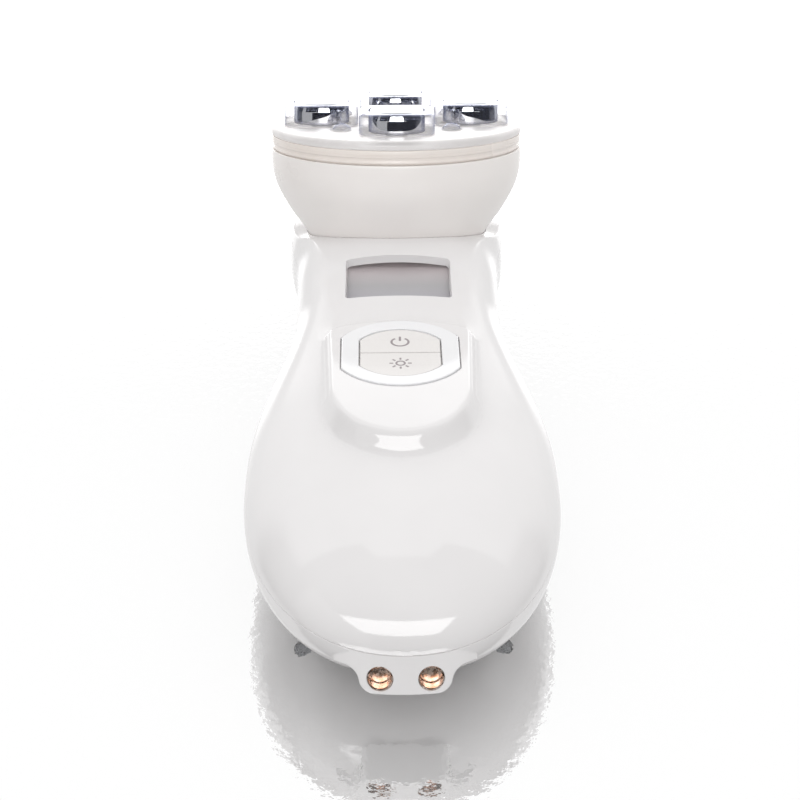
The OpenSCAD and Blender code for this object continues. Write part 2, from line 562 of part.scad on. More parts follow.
module lens_cover() color([0.93, 0.94, 0.95, 0.45]) placed() at_head() difference() {
  union() {
    rotate_extrude($fn = 2*fine) polygon([[0, ring_h1], [head_r - 0.1, ring_h1], [head_r - 0.1, ring_h1 + 1],
      [head_r - 0.4, ring_h1 + 1.6], [head_r - 1, ring_h1 + 2], [head_r - 1.9, cap_h], [0, cap_h]]);
    for (p = spots) translate([p[0], p[1], ring_h1 + 0.5]) {
      linear_extrude(boss_h - 0.8 - ring_h1 - 0.5) soft_rect(boss_w, boss_w, 4);
      linear_extrude(boss_h - 0.3 - ring_h1 - 0.5) soft_rect(boss_w - 0.6, boss_w - 0.6, 3.8);
      linear_extrude(boss_h - ring_h1 - 0.5) soft_rect(boss_w - 1.6, boss_w - 1.6, 3.4);
    }
    for (i = [-1, 1], j = [-1, 1]) translate([i*dome_x, j*dome_x, cap_h - 0.9]) sphere(r = dome_r, $fn = fine);
  }
  for (p = spots) translate([p[0], p[1], 0]) {
    translate([0, 0, pocket_h]) linear_extrude(9) soft_rect(electrode_w + 2*fit, electrode_w + 2*fit, 3);
    rod(stem_r + slip, 0, boss_h);
  }
}

module electrode(p) translate([p[0], p[1], 0]) {
  translate([0, 0, pocket_h]) linear_extrude(boss_h - 0.35 - pocket_h) soft_rect(electrode_w, electrode_w, 2.9);
  translate([0, 0, pocket_h]) linear_extrude(boss_h - 0.05 - pocket_h) soft_rect(electrode_w - 0.5, electrode_w - 0.5, 2.7);
  translate([0, 0, pocket_h]) linear_extrude(boss_h + 0.15 - pocket_h) soft_rect(electrode_w - 1.4, electrode_w - 1.4, 2.3);
  rod(stem_r, stem_end, pocket_h + 0.5);
}
module electrode_front() color([0.80, 0.81, 0.83]) placed() at_head() electrode(spots[0]);
module electrode_rear() color([0.80, 0.81, 0.83]) placed() at_head() electrode(spots[1]);
module electrode_left() color([0.80, 0.81, 0.83]) placed() at_head() electrode(spots[2]);
module electrode_right() color([0.80, 0.81, 0.83]) placed() at_head() electrode(spots[3]);

plate_t = 0.8;
module reflector_plate() color([0.95, 0.94, 0.93]) placed() at_head() difference() {
  rod(head_r - 2.7, ring_h1 - plate_t, ring_h1);
  for (p = spots) translate([p[0], p[1], 0]) rod(stem_r + 0.3, 0, 9);
  for (i = [-1, 1], j = [-1, 1]) translate([i*dome_x, j*dome_x, 0]) rod(dome_r - 0.2, 0, 9);
}
module head_board() color([0.88, 0.89, 0.87]) placed() at_head() difference() {
  rod(board_r, board_h, lamp_board_top);
  around(lamp_post) rod(tap[0] + slip, board_h - 1, board_h + 3);
}
module head_board_screws() color(steel) placed() at_head() around(lamp_post)
  translate([0, 0, lamp_board_top]) mirror([0, 0, 1]) pan_screw(tap, tap_l);
module lamp_chips() color([0.98, 0.90, 0.55]) placed() at_head() for (i = [-1, 1], j = [-1, 1])
  translate([i*dome_x - chip_w/2, j*dome_x - chip_w/2, lamp_board_top]) cube([chip_w, chip_w, chip_h]);
module contact_pins() color([0.85, 0.68, 0.32]) placed() at_head() for (p = spots) translate([p[0], p[1], 0]) rod(1.5, lamp_board_top, stem_end);

module shell_screws() color(steel) placed() each_screw() pan_screw(closer, closer_l);

front_shell();
back_shell();
display_window();
lcd_module();
display_board();
display_screws();
button_bezel();
power_key();
led_select_key();
switch_power();
switch_led();
plunger_power();
plunger_led();
main_board();
board_parts();
board_screws();
battery();
battery_tray();
battery_leads();
charge_contact_left();
charge_contact_right();
charge_leads();
driver_board();
driver_screws();
rf_transformer();
driver_leads();
head_leads();
head_bowl();
head_screws();
head_trim_ring();
lens_cover();
electrode_front();
electrode_rear();
electrode_left();
electrode_right();
reflector_plate();
head_board();
head_board_screws();
lamp_chips();
contact_pins();
shell_screws();
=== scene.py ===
# %% [markdown]
# # A handheld facial toning device
# A glossy white grip lies on its back. It narrows to a neck with a small
# display, and a round head with four chromed electrodes stands tilted on the
# neck's end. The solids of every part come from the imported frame. This lesson
# dresses them: the visible shells are modelled again with fine curves, and
# each material is made from nodes.

# %% Load the frame and measure it
from math import acos, asin, atan, ceil, cos, degrees, pi, radians, sin, tan

import bmesh
import bpy
from mathutils import Matrix, Vector


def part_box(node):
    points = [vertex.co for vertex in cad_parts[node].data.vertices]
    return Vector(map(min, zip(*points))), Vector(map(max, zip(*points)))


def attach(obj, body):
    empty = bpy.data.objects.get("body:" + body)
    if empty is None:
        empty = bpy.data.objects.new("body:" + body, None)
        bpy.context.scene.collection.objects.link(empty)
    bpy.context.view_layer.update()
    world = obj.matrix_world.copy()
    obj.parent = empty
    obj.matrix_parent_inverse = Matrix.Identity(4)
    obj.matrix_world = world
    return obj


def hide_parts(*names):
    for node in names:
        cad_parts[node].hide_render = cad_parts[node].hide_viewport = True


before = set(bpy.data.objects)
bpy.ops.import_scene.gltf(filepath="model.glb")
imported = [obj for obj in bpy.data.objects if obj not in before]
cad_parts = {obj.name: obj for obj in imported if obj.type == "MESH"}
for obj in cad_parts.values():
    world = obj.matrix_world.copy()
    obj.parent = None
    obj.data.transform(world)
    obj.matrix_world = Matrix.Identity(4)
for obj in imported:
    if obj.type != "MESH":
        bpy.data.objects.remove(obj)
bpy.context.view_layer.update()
MM = 0.001

# %% [markdown]
# ## Sizes
# The sizes are the device's own, in millimetres. Stations run along the
# device from a reference plane under the grip, so +y points to the head. The
# frame's own origin lies in the middle, which Y_MID accounts for.

# %% Sizes of the body
BULB_W, NECK_W, POD_W = 68, 48.8, 54
SEAM_Z, DOME_H, WALL = 20, 16, 2
WIDE_Y, TAIL_LEN, DOME_Y, WAIST_Y, POD_Y, POD_LEN = -7.5, 50.4, -10, 63, 95, 24.4
TAIL_END = WIDE_Y - TAIL_LEN
NECK_END = WAIST_Y + 3             # from here the neck widens towards the head
TAIL_N = 2.1                       # exponent of the tail's curve in plan
TAIL_RISE = 2                      # crest over the dome's height where it starts
HEAD_Y, HEAD_Z, HEAD_R, HEAD_TILT = 96.57, 49.92, 30.75, 19
CAP_R, CAP_R_H = HEAD_R - 0.1, 4.9  # the cap's widest circle, which ends the device
TAB_TILT, TAB_W, TAB_LOW = 20, 18.7, 3.4
TAB_Y, TAB_Z = TAIL_END - 1.7, SEAM_Z - 4.6
KEY_Y, KEY_TILT = 21, 5.4
KEY_Z = SEAM_Z + DOME_H + 5 - KEY_Y * tan(radians(KEY_TILT))
LCD_Y = 55
head_tip = HEAD_Y + cos(radians(HEAD_TILT)) * CAP_R + sin(radians(HEAD_TILT)) * CAP_R_H
tail_tip = TAB_Y - TAB_LOW * sin(radians(TAB_TILT))
Y_MID = (tail_tip + head_tip) / 2
TO_FRAME = Matrix.Scale(MM, 4) @ Matrix.Translation((0, -Y_MID, 0))
print("middle at station", round(Y_MID, 3))

# %% [markdown]
# ## The skin as formulas
# The body has no straight part, so its skin is worked out. The grip narrows
# along one S-curve, and smooth curves through a few stations give the pod's
# width, the seam and the crest. Each cross section is a superellipse: `bow`
# is its quarter arc, round at exponent 2 and boxier above. The neck's panel
# is a second, flatter surface, and the skin is the lower of the two with a
# small rounding where they meet.


# %% Curves of the skin
def curve(table, s):
    """Smooth value at s through [station, value] pairs."""
    if s <= table[0][0]:
        return table[0][1]
    if s >= table[-1][0]:
        return table[-1][1]
    i = max(k for k in range(len(table) - 1) if table[k][0] <= s)

    def rise(k):
        if k in (0, len(table) - 1):
            return 0
        (a, p), (b, q) = table[k - 1], table[k + 1]
        return (q - p) / (b - a)

    (a, p), (b, q) = table[i], table[i + 1]
    h, u = b - a, (s - a) / (b - a)
    value = p * (1 + 2 * u) * (1 - u) ** 2 + q * u * u * (3 - 2 * u)
    return value + h * u * (1 - u) * (rise(i) * (1 - u) - rise(i + 1) * u)


def bow(u, n):
    """Quarter of a superellipse of exponent n, 1 at u = 0 and 0 at u = 1."""
    return max(0, 1 - max(0, u) ** n) ** (1 / n)


def soft_min(a, b, k):
    """The lower of two heights, rounded over k where they cross."""
    return min(a, b) - max(k - abs(a - b), 0) ** 2 / (4 * k)


def soft_max(a, b, k):
    return -soft_min(-a, -b, k)


TAPER_END, TAPER_LEAN = 54, 1.4
POD_PLAN = [[NECK_END, 0], [75, 0.03], [84.7, 0.66], [POD_Y, 1]]
CREST = [[DOME_Y, TAIL_RISE], [15, 2.4], [30, 3], [45, 4.2], [60, 5.2], [75, 6], [88, 5], [POD_Y, 3.5]]
BELLY = [[WIDE_Y, 1.5], [20, 1], [45, -2], [60, -3], [76, 0.4], [88, 4], [POD_Y, 4]]
PANEL = [[14, 4.6], [25, 2.7], [35, 1.35], [46, 1.35], [58, 2.2], [68, 4.5], [74, 3.3],
         [84, -1.1], [96, -5.2], [108, -9.4], [119.4, -13.3]]
PANEL_R = [[40, 95], [60, 66], [69, 50], [82, 90], [119, 130]]


def taper(s):
    """Share of the grip's extra width that is left at s, along an S-curve that leans towards the neck."""
    u = min(1, (s - WIDE_Y) / (TAPER_END - WIDE_Y)) ** TAPER_LEAN
    return 1 - u * u * (3 - 2 * u)


def half_w(s, o=0):
    """Half width in plan; o is how far inside the outer skin."""
    if s <= WIDE_Y:
        return (BULB_W / 2 - o) * bow((WIDE_Y - s) / (TAIL_LEN - o), TAIL_N)
    if s <= NECK_END:
        return NECK_W / 2 - o + (BULB_W - NECK_W) / 2 * taper(s)
    if s <= POD_Y:
        return NECK_W / 2 - o + (POD_W - NECK_W) / 2 * curve(POD_PLAN, s)
    return (POD_W / 2 - o) * bow((s - POD_Y) / (POD_LEN - o), 2)


def wide_z(s):
    """Height of the widest line."""
    return SEAM_Z + curve([[20, 0], [60, 1], [92, 2], [106, 0.6], [POD_Y + POD_LEN, -2.5]], s)


def split_z(s):
    """Height of the seam between the two shells."""
    return wide_z(s) + curve([[48, 0], [62, 1.6], [76, 5], [88, 5.4], [100, 2.4], [112, 0]], s)


def end_fall(s, o, n):
    return 1 if s <= POD_Y else bow((s - POD_Y) / (POD_LEN - o), n)


def top_z(s, o=0):
    if s <= DOME_Y:
        reach = DOME_Y - TAIL_END
        return SEAM_Z + (DOME_H + TAIL_RISE - o) * bow((DOME_Y - s) / (reach - o), 2)
    if s <= POD_Y:
        return SEAM_Z + DOME_H - o + curve(CREST, s)
    return wide_z(s) + (SEAM_Z + DOME_H + 3.5 - o - wide_z(POD_Y)) * end_fall(s, o, 2)


def top_n(s):
    return curve([[10, 2.05], [50, 2.3], [70, 2.65], [90, 2.6], [119, 2.2]], s)


def hull_z(x, s, o=0):
    width = half_w(s, o)
    if width <= 0:
        return wide_z(s)
    return wide_z(s) + (top_z(s, o) - wide_z(s)) * bow(abs(x) / width, top_n(s))


def hull_x(z, s, o=0):
    tall = top_z(s, o) - wide_z(s)
    return half_w(s, o) * (bow((z - wide_z(s)) / tall, top_n(s)) if tall > 0 else 1)


def panel_z(x, s):
    if s < PANEL[0][0]:
        return 99
    return SEAM_Z + DOME_H + curve(PANEL, s) - x * x / (2 * curve(PANEL_R, s))


CREASE_ROUND = 0.8


def skin_z(x, s, o=0):
    """Height of the front's skin over a point of the plan."""
    return soft_min(hull_z(x, s, o), panel_z(x, s) - o, CREASE_ROUND)


def back_d(s, o=0):
    """Depth of the back below the widest line."""
    if s <= WIDE_Y:
        return (SEAM_Z + 1.5 - o) * bow((WIDE_Y - s) / (TAIL_LEN - o), 2)
    return (SEAM_Z + curve(BELLY, s) - o) * end_fall(s, o, 2)


print("crest over the keys:", round(skin_z(0, KEY_Y), 2))

# %% [markdown]
# ## Places of the sloped parts
# The keys, the display, the head and the charging tab each lie on their own
# slope. A matrix for each lets a piece be modelled flat at the origin and
# then be set down where it belongs.


# %% Frames of the sloped parts
def sloped(y, z, angle):
    return Matrix.Translation((0, y, z)) @ Matrix.Rotation(radians(angle), 4, "X")


LCD_TILT = degrees(atan((panel_z(0, LCD_Y + 8) - panel_z(0, LCD_Y - 8)) / 16))
AT_KEYS = sloped(KEY_Y, KEY_Z, -KEY_TILT)
AT_LCD = sloped(LCD_Y, panel_z(0, LCD_Y), LCD_TILT)
AT_HEAD = sloped(HEAD_Y, HEAD_Z, -HEAD_TILT)
AT_TAB = sloped(TAB_Y, TAB_Z, 90 - TAB_TILT)
FLAT = Matrix.Identity(4)
print("display leans", round(LCD_TILT, 2), "degrees")

# %% [markdown]
# ## Helpers for meshes
# Every piece is modelled in millimetres and handed over the same way: doubles
# are merged, faces turned outward, the mesh set in place and its sharp edges
# marked. Holes and unions use Blender's exact boolean on two meshes.


# %% Helpers
SHARP_ANGLE = 30                   # edges that turn more than this stay sharp


def finish_piece(bm, name, material, at=FLAT, *, body="housing", replaces=()):
    """Turns a mesh in millimetres into a finished piece that rides on its body."""
    bmesh.ops.remove_doubles(bm, verts=bm.verts, dist=0.002)
    bmesh.ops.recalc_face_normals(bm, faces=bm.faces)
    bm.transform(TO_FRAME @ at)
    open_edges = sum(not e.is_manifold for e in bm.edges)
    mesh = bpy.data.meshes.new(name)
    bm.to_mesh(mesh)
    bm.free()
    mesh.materials.append(material)
    mesh.shade_smooth()
    mesh.set_sharp_from_angle(angle=radians(SHARP_ANGLE))
    piece = bpy.data.objects.new(name, mesh)
    bpy.context.scene.collection.objects.link(piece)
    even = piece.modifiers.new("even_shading", "WEIGHTED_NORMAL")
    even.keep_sharp = True
    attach(piece, body)
    if replaces:
        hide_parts(*replaces)
    print(f"{name}: {len(mesh.vertices)} vertices, {open_edges} open edges")


def combine(target, tool, operation="DIFFERENCE"):
    """Exact boolean of two meshes; gives back a new one and frees both."""
    pair = []
    for part in (target, tool):
        bmesh.ops.recalc_face_normals(part, faces=part.faces)
        mesh = bpy.data.meshes.new("boolean")
        part.to_mesh(mesh)
        part.free()
        pair.append(bpy.data.objects.new("boolean", mesh))
        bpy.context.scene.collection.objects.link(pair[-1])
    step = pair[0].modifiers.new("boolean", "BOOLEAN")
    step.object, step.operation, step.solver = pair[1], operation, "EXACT"
    graph = bpy.context.evaluated_depsgraph_get()
    made = bpy.data.meshes.new_from_object(pair[0].evaluated_get(graph))
    result = bmesh.new()
    result.from_mesh(made)
    for part in pair:
        bpy.data.objects.remove(part)
    bpy.data.meshes.remove(made)
    return result


def extruded(bm, depth):
    """Gives the flat faces of bm a thickness, downwards."""
    grown = bmesh.ops.extrude_face_region(bm, geom=bm.faces[:])["geom"]
    moved = [v for v in grown if isinstance(v, bmesh.types.BMVert)]
    bmesh.ops.translate(bm, verts=moved, vec=(0, 0, -depth))


def sliced(bm, point, normal, clear=True, snap=0):
    """Cuts along a plane and, with clear, takes away what lies on the normal's side."""
    bmesh.ops.bisect_plane(bm, geom=bm.verts[:] + bm.edges[:] + bm.faces[:], dist=snap,
                           plane_co=point, plane_no=normal, clear_outer=clear)


def rim_edges(bm, z):
    """Edges of the flat outline at height z."""
    return [e for e in bm.edges if all(abs(v.co.z - z) < 0.001 for v in e.verts)
            and len(e.link_faces) == 2 and e.calc_face_angle(0) > radians(50)]


def soften(bm, z, radius, segments=4):
    """Rounds the outline's edge at height z."""
    bmesh.ops.bevel(bm, geom=rim_edges(bm, z), offset=radius, affect="EDGES",
                    segments=segments, profile=0.5, material=-1)
    return bm


def outline(corners, radii, z, segments):
    """A flat face with rounded corners; radii has one radius per corner."""
    bm = bmesh.new()
    points = [bm.verts.new((x, y, z)) for x, y in corners]
    bm.faces.new(points)
    for radius in sorted(set(radii)):
        turned = [v for v, r in zip(points, radii) if r == radius and r > 0]
        if turned:
            bmesh.ops.bevel(bm, geom=turned, offset=radius, affect="VERTICES",
                            segments=segments, profile=0.5, material=-1)
    bmesh.ops.recalc_face_normals(bm, faces=bm.faces)
    return bm


def rounded_box(x, y, z0, z1, corner, top=0, segments=8):
    """Block with round corners in plan, its top at z1, softened by top."""
    bm = outline([(-x / 2, -y / 2), (x / 2, -y / 2), (x / 2, y / 2), (-x / 2, y / 2)],
                 [corner] * 4, z1, segments)
    extruded(bm, z1 - z0)
    return soften(bm, z1, top) if top else bm


def flat_disc(radius, cut, z, depth):
    """Round disc with its two sides cut flat at radius - cut."""
    bm = bmesh.new()
    bmesh.ops.create_circle(bm, cap_ends=True, radius=radius, segments=160)
    for side in (-1, 1):
        sliced(bm, (side * (radius - cut), 0, 0), (side, 0, 0))
    bmesh.ops.translate(bm, verts=bm.verts, vec=(0, 0, z))
    extruded(bm, depth)
    return bm


def spun(profile, steps):
    """Closed outline of (radius, height) points, spun round the axis."""
    bm = bmesh.new()
    points = [bm.verts.new((r, 0, h)) for r, h in profile]
    edges = [bm.edges.new(pair) for pair in zip(points, points[1:] + points[:1])]
    bmesh.ops.spin(bm, geom=points + edges, cent=(0, 0, 0), axis=(0, 0, 1), angle=2 * pi,
                   steps=steps, use_merge=True)
    bmesh.ops.remove_doubles(bm, verts=bm.verts, dist=0.0005)
    loose = [e for e in bm.edges if not e.link_faces]
    bmesh.ops.delete(bm, geom=loose, context="EDGES")
    return bm


def rod(radius, z0, z1, at=FLAT, steps=48):
    bm = bmesh.new()
    bmesh.ops.create_cone(bm, cap_ends=True, radius1=radius, radius2=radius, depth=z1 - z0, segments=steps)
    bmesh.ops.translate(bm, verts=bm.verts, vec=(0, 0, (z0 + z1) / 2))
    bm.transform(at)
    return bm


# %% [markdown]
# ## Materials
# Colours are written as sRGB hex, the way a designer reads them, and turned
# to linear by one function. One small function adds a node with its settings
# and links. Patterns use Object coordinates, which are metres here, so a
# scale of 1000 / size gives cells of that many millimetres.


# %% Node helpers
def linear(hex_colour):
    """Linear RGBA of an sRGB hex colour."""
    parts = [int(hex_colour[i:i + 2], 16) / 255 for i in (1, 3, 5)]
    return [c / 12.92 if c < 0.04045 else ((c + 0.055) / 1.055) ** 2.4 for c in parts] + [1]


def add(tree, kind, inputs=None, **settings):
    """Adds a node with its settings; an input is a value or the socket it is linked to."""
    node = tree.nodes.new("ShaderNode" + kind)
    for name, value in settings.items():
        setattr(node, name, value)
    for name, value in (inputs or {}).items():
        if isinstance(value, bpy.types.NodeSocket):
            tree.links.new(value, node.inputs[name])
        else:
            node.inputs[name].default_value = value
    return node


def arithmetic(tree, operation, *values, **settings):
    """Result of a Math node over values or sockets."""
    return add(tree, "Math", dict(enumerate(values)), operation=operation, **settings).outputs["Value"]


def eased(tree, value, start, end, first, last):
    """Smooth step of value from first at start to last at end."""
    return add(tree, "MapRange", {"Value": value, "From Min": start, "From Max": end,
                                  "To Min": first, "To Max": last},
               interpolation_type="SMOOTHSTEP").outputs["Result"]


def blank_material(name):
    """A material without nodes; gives back it and its tree."""
    material = bpy.data.materials.new(name)
    material.use_nodes = True
    material.node_tree.nodes.clear()
    return material, material.node_tree


def finish_material(name, inputs):
    """A material with one Principled shader; gives back it, its tree and its shader."""
    material, tree = blank_material(name)
    shader = add(tree, "BsdfPrincipled", inputs)
    add(tree, "OutputMaterial", {"Surface": shader.outputs["BSDF"]})
    return material, tree, shader


def toned(tree, shader, share, *stops):
    """Links a colour ramp through (position, hex colour) stops to the base colour."""
    tone = add(tree, "ValToRGB", {"Fac": share})
    first, last = tone.color_ramp.elements
    first.color, last.color = linear(stops[0][1]), linear(stops[-1][1])
    first.position, last.position = stops[0][0], stops[-1][0]
    for position, colour in stops[1:-1]:
        tone.color_ramp.elements.new(position).color = linear(colour)
    tree.links.new(tone.outputs["Color"], shader.inputs["Base Color"])


def cells(size_mm):
    """Noise scale that gives cells of this size on Object coordinates in metres."""
    return 1 / (size_mm * MM)


def moulded(name, light, dark, roughness, peel_mm=1.4, peel=0.02, blotch_mm=18, **inputs):
    """Injection-moulded plastic: faint flow tone, uneven gloss and orange peel."""
    material, tree, shader = finish_material(name, inputs)
    place = add(tree, "TexCoord").outputs["Object"]
    blotch = add(tree, "TexNoise", {"Vector": place, "Scale": cells(blotch_mm), "Detail": 3})
    toned(tree, shader, blotch.outputs["Fac"], (0.3, dark), (0.7, light))
    gloss = add(tree, "MapRange", {"Value": blotch.outputs["Fac"], "From Min": 0.3, "From Max": 0.7,
                                   "To Min": roughness * 0.85, "To Max": roughness * 1.15})
    tree.links.new(gloss.outputs["Result"], shader.inputs["Roughness"])
    fine = add(tree, "TexNoise", {"Vector": place, "Scale": cells(peel_mm), "Detail": 2})
    bump = add(tree, "Bump", {"Height": fine.outputs["Fac"], "Strength": peel, "Distance": 0.05 * MM})
    tree.links.new(bump.outputs["Normal"], shader.inputs["Normal"])
    return material


# %% Materials of the outside
gloss_abs = moulded("gloss_white_ABS", "#EEECEC", "#EBE9E9", 0.09, IOR=1.5)
bowl_abs = moulded("warm_white_ABS", "#F8F4F1", "#F5F0ED", 0.3, IOR=1.5)
ring_abs = moulded("ring_white_ABS", "#F5F5F6", "#F2F2F4", 0.07, IOR=1.5)
key_abs = moulded("satin_key_ABS", "#EFECEA", "#EBE8E6", 0.22, peel_mm=0.5, peel=0.06, IOR=1.5)
trim_abs = moulded("cream_trim_ABS", "#F5EEE9", "#F1E8E1", 0.25, IOR=1.5)


def painted_shade_rib():
    """Cream rib, greyed as painted shade for the seam's groove, with sparse brown specks of about a
    millimetre.
    """
    material, tree, shader = finish_material("dusty_rib_ABS", {"Roughness": 0.5})
    place = add(tree, "TexCoord").outputs["Object"]
    speck_noise = add(tree, "TexNoise", {"Vector": place, "Scale": cells(2.2), "Detail": 2})
    # painted shade: the rib's grey tone darkens the seam's groove, with brown specks scattered in it
    toned(tree, shader, speck_noise.outputs["Fac"], (0.56, "#D9D4CE"), (0.66, "#B08A66"))
    return material


rib_abs = painted_shade_rib()
print("plastics ready")


# %% Clear, metal and inner materials
def clear_acrylic(name, milky_share, haze, tints, edge, frosting):
    """Thin clear wall: light that it neither mirrors nor scatters as haze passes straight through."""
    material, tree, shader = finish_material(name, {})
    milky = milky_share(tree)
    tint = add(tree, "MixRGB", {"Fac": milky, "Color1": linear(tints[0]), "Color2": linear(tints[1])})
    tree.links.new(tint.outputs["Color"], shader.inputs["Base Color"])
    frost = add(tree, "MapRange", {"Value": milky, "To Min": 0.04, "To Max": frosting})
    tree.links.new(frost.outputs["Result"], shader.inputs["Roughness"])
    dust = add(tree, "MapRange", {"Value": milky, "To Min": haze[0], "To Max": haze[1]}).outputs["Result"]
    mirror = add(tree, "Fresnel", {"IOR": 1.49}).outputs["Fac"]
    outside = arithmetic(tree, "SUBTRACT", 1, add(tree, "NewGeometry").outputs["Backfacing"])
    mirrored = arithmetic(tree, "MULTIPLY", mirror, outside)
    slant = add(tree, "LayerWeight", {"Blend": 0.5}).outputs["Facing"]
    fog = arithmetic(tree, "MULTIPLY_ADD", arithmetic(tree, "POWER", slant, 2), edge, dust)
    kept = arithmetic(tree, "ADD", mirrored, fog, use_clamp=True)
    tree.links.new(kept, shader.inputs["Alpha"])
    tree.links.new(arithmetic(tree, "DIVIDE", mirrored, kept), shader.inputs["Metallic"])
    return material


def faint_haze(tree):
    """A little dust, uneven over a few millimetres."""
    place = add(tree, "TexCoord").outputs["Object"]
    cloud = add(tree, "TexNoise", {"Vector": place, "Scale": cells(4), "Detail": 3})
    return cloud.outputs["Fac"]


def frosted_foot(tree):
    """The cap is clear at its bosses and milky below the height of its plate."""
    place = add(tree, "TexCoord").outputs["Object"]
    axis = TO_FRAME @ AT_HEAD
    up = (axis.to_3x3() @ Vector((0, 0, 1))).normalized()
    height = add(tree, "VectorMath", {0: place, 1: up}, operation="DOT_PRODUCT").outputs["Value"]
    base = axis.translation.dot(up)
    foot, top = (base + h * MM for h in (6.25, 7))
    return eased(tree, height, foot, top, 1, 0)


def metal(name, light, dark, roughness, mark_mm, marks=0.03):
    """Metal with a faint uneven tone and fine marks in its polish."""
    material, tree, shader = finish_material(name, {"Metallic": 1})
    place = add(tree, "TexCoord").outputs["Object"]
    wear = add(tree, "TexNoise", {"Vector": place, "Scale": cells(mark_mm), "Detail": 4})
    toned(tree, shader, wear.outputs["Fac"], (0.35, dark), (0.6, light))
    gloss = add(tree, "MapRange", {"Value": wear.outputs["Fac"], "From Min": 0.3, "From Max": 0.7,
                                   "To Min": roughness * 0.6, "To Max": roughness * 1.4})
    tree.links.new(gloss.outputs["Result"], shader.inputs["Roughness"])
    bump = add(tree, "Bump", {"Height": wear.outputs["Fac"], "Strength": marks, "Distance": 0.02 * MM})
    tree.links.new(bump.outputs["Normal"], shader.inputs["Normal"])
    return material


cap_acrylic = clear_acrylic("clear_cap_PMMA", frosted_foot, (0.02, 0.5), ("#A4A9C4", "#F3F0EF"), 0.75, 0.45)
window_acrylic = clear_acrylic("window_PMMA", faint_haze, (0.01, 0.05), ("#F4F3F6", "#F4F3F6"), 0, 0.05)
chrome = metal("bright_chrome_plate", "#EFF0F3", "#E4E6EA", 0.04, 4)
copper = metal("polished_copper", "#E2D2C8", "#BE9C86", 0.26, 0.9, 0.15)
steel = metal("zinc_plated_steel", "#B9BCC0", "#94979C", 0.32, 0.6, 0.1)
pin_gold = metal("gold_plate", "#E2BE72", "#CDA34F", 0.2, 0.8)


def lcd_painted_reflection():
    """Reflective display: grey liquid crystal with a painted reflection that turns it pinkish above and
    lavender below.
    """
    material, tree, shader = finish_material("display_glass", {"Roughness": 0.18, "IOR": 1.5})
    along = add(tree, "SeparateXYZ", {"Vector": add(tree, "TexCoord").outputs["Object"]})
    low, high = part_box("lcd_module")
    frame_w = 3 * MM
    share = add(tree, "MapRange", {"Value": along.outputs["Y"], "From Min": low.y + frame_w,
                                   "From Max": high.y - frame_w})
    # painted reflection: the tone runs from lavender at the keys' end through grey to pinkish at the head's
    # end
    toned(tree, shader, share.outputs["Result"], (0, "#BAB7C1"), (0.55, "#B4B3B5"), (1, "#D4C9CA"))
    return material


lcd_material = lcd_painted_reflection()
circuit = moulded("solder_mask_green", "#1F7A45", "#17653A", 0.3, peel_mm=0.8, peel=0.1)
black_resin = moulded("black_epoxy", "#26262A", "#1C1C1F", 0.4, peel_mm=0.4, peel=0.1)
plunger_red = moulded("red_POM", "#A04A40", "#8C3E36", 0.35)
cell_sleeve = moulded("blue_PVC_sleeve", "#4A86C8", "#3F76B6", 0.3)
tray_resin = moulded("grey_tray_ABS", "#63666C", "#56595F", 0.45)
lead_red = moulded("red_PVC_lead", "#C63B36", "#B3322E", 0.4)
lead_black = moulded("black_PVC_lead", "#37373A", "#2C2C2F", 0.4)
lead_blue = moulded("blue_PVC_lead", "#4C6FBF", "#4163AF", 0.4)
lead_white = moulded("white_PVC_lead", "#DEDEDE", "#D2D2D2", 0.4)
ferrite = moulded("sintered_ferrite", "#4A4744", "#3A3835", 0.6, peel_mm=0.3, peel=0.3)
reflector = moulded("matt_reflector_ABS", "#F1F0EF", "#ECEBEA", 0.3, IOR=1.5)
board_white = moulded("white_solder_mask", "#DDDFDC", "#D2D4D1", 0.3)
lamp_resin = moulded("phosphor_silicone", "#F2DE8C", "#EAD27A", 0.25)
mark_ink = moulded("grey_pad_print_ink", "#A39A9C", "#978D90", 0.5, peel_mm=0.2, peel=0.1)

INNER = {
    "display_window": window_acrylic, "lcd_module": lcd_material,
    "display_board": circuit, "main_board": circuit, "driver_board": circuit,
    "display_screws": steel, "board_screws": steel, "driver_screws": steel, "head_screws": steel,
    "head_board_screws": steel, "shell_screws": steel, "switch_power": black_resin,
    "switch_led": black_resin, "board_parts": black_resin, "plunger_power": plunger_red,
    "plunger_led": plunger_red, "battery": cell_sleeve, "battery_tray": tray_resin,
    "battery_leads": lead_red, "charge_leads": lead_black, "driver_leads": lead_blue,
    "head_leads": lead_white, "rf_transformer": ferrite, "reflector_plate": reflector,
    "head_board": board_white, "lamp_chips": lamp_resin, "contact_pins": pin_gold,
}
for node, material in INNER.items():
    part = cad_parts[node]
    part.data.materials.clear()
    part.data.materials.append(material)
print(len(INNER), "carried parts have their materials")

# %% [markdown]
# ## The shells
# Each shell is two grids laid over the formulas, the outer skin and the inner
# one 2 mm inside, bridged at the seam. The first columns round the rim, so
# that the seam shows as a fine groove.

# %% Grids on the skin
RIM_ROUND, RIM_GAP, RIM_COLS = 0.2, 0.03, 3
BACK_N = 2.3                       # exponent of the back's cross section
TAIL_ROWS, BODY_ROWS, POD_ROWS = 40, 96, 28
SIDE_COLS, TOP_COLS, BACK_COLS = 26, 22, 44
ROWS = TAIL_ROWS + BODY_ROWS + POD_ROWS


def station(row, o):
    """Station of a row; rows crowd towards both round ends."""
    if row <= TAIL_ROWS:
        return WIDE_Y - (TAIL_LEN - o) * cos(pi / 2 * row / TAIL_ROWS)
    if row <= TAIL_ROWS + BODY_ROWS:
        return WIDE_Y + (POD_Y - WIDE_Y) * (row - TAIL_ROWS) / BODY_ROWS
    return POD_Y + (POD_LEN - o) * sin(pi / 2 * (row - TAIL_ROWS - BODY_ROWS) / POD_ROWS)


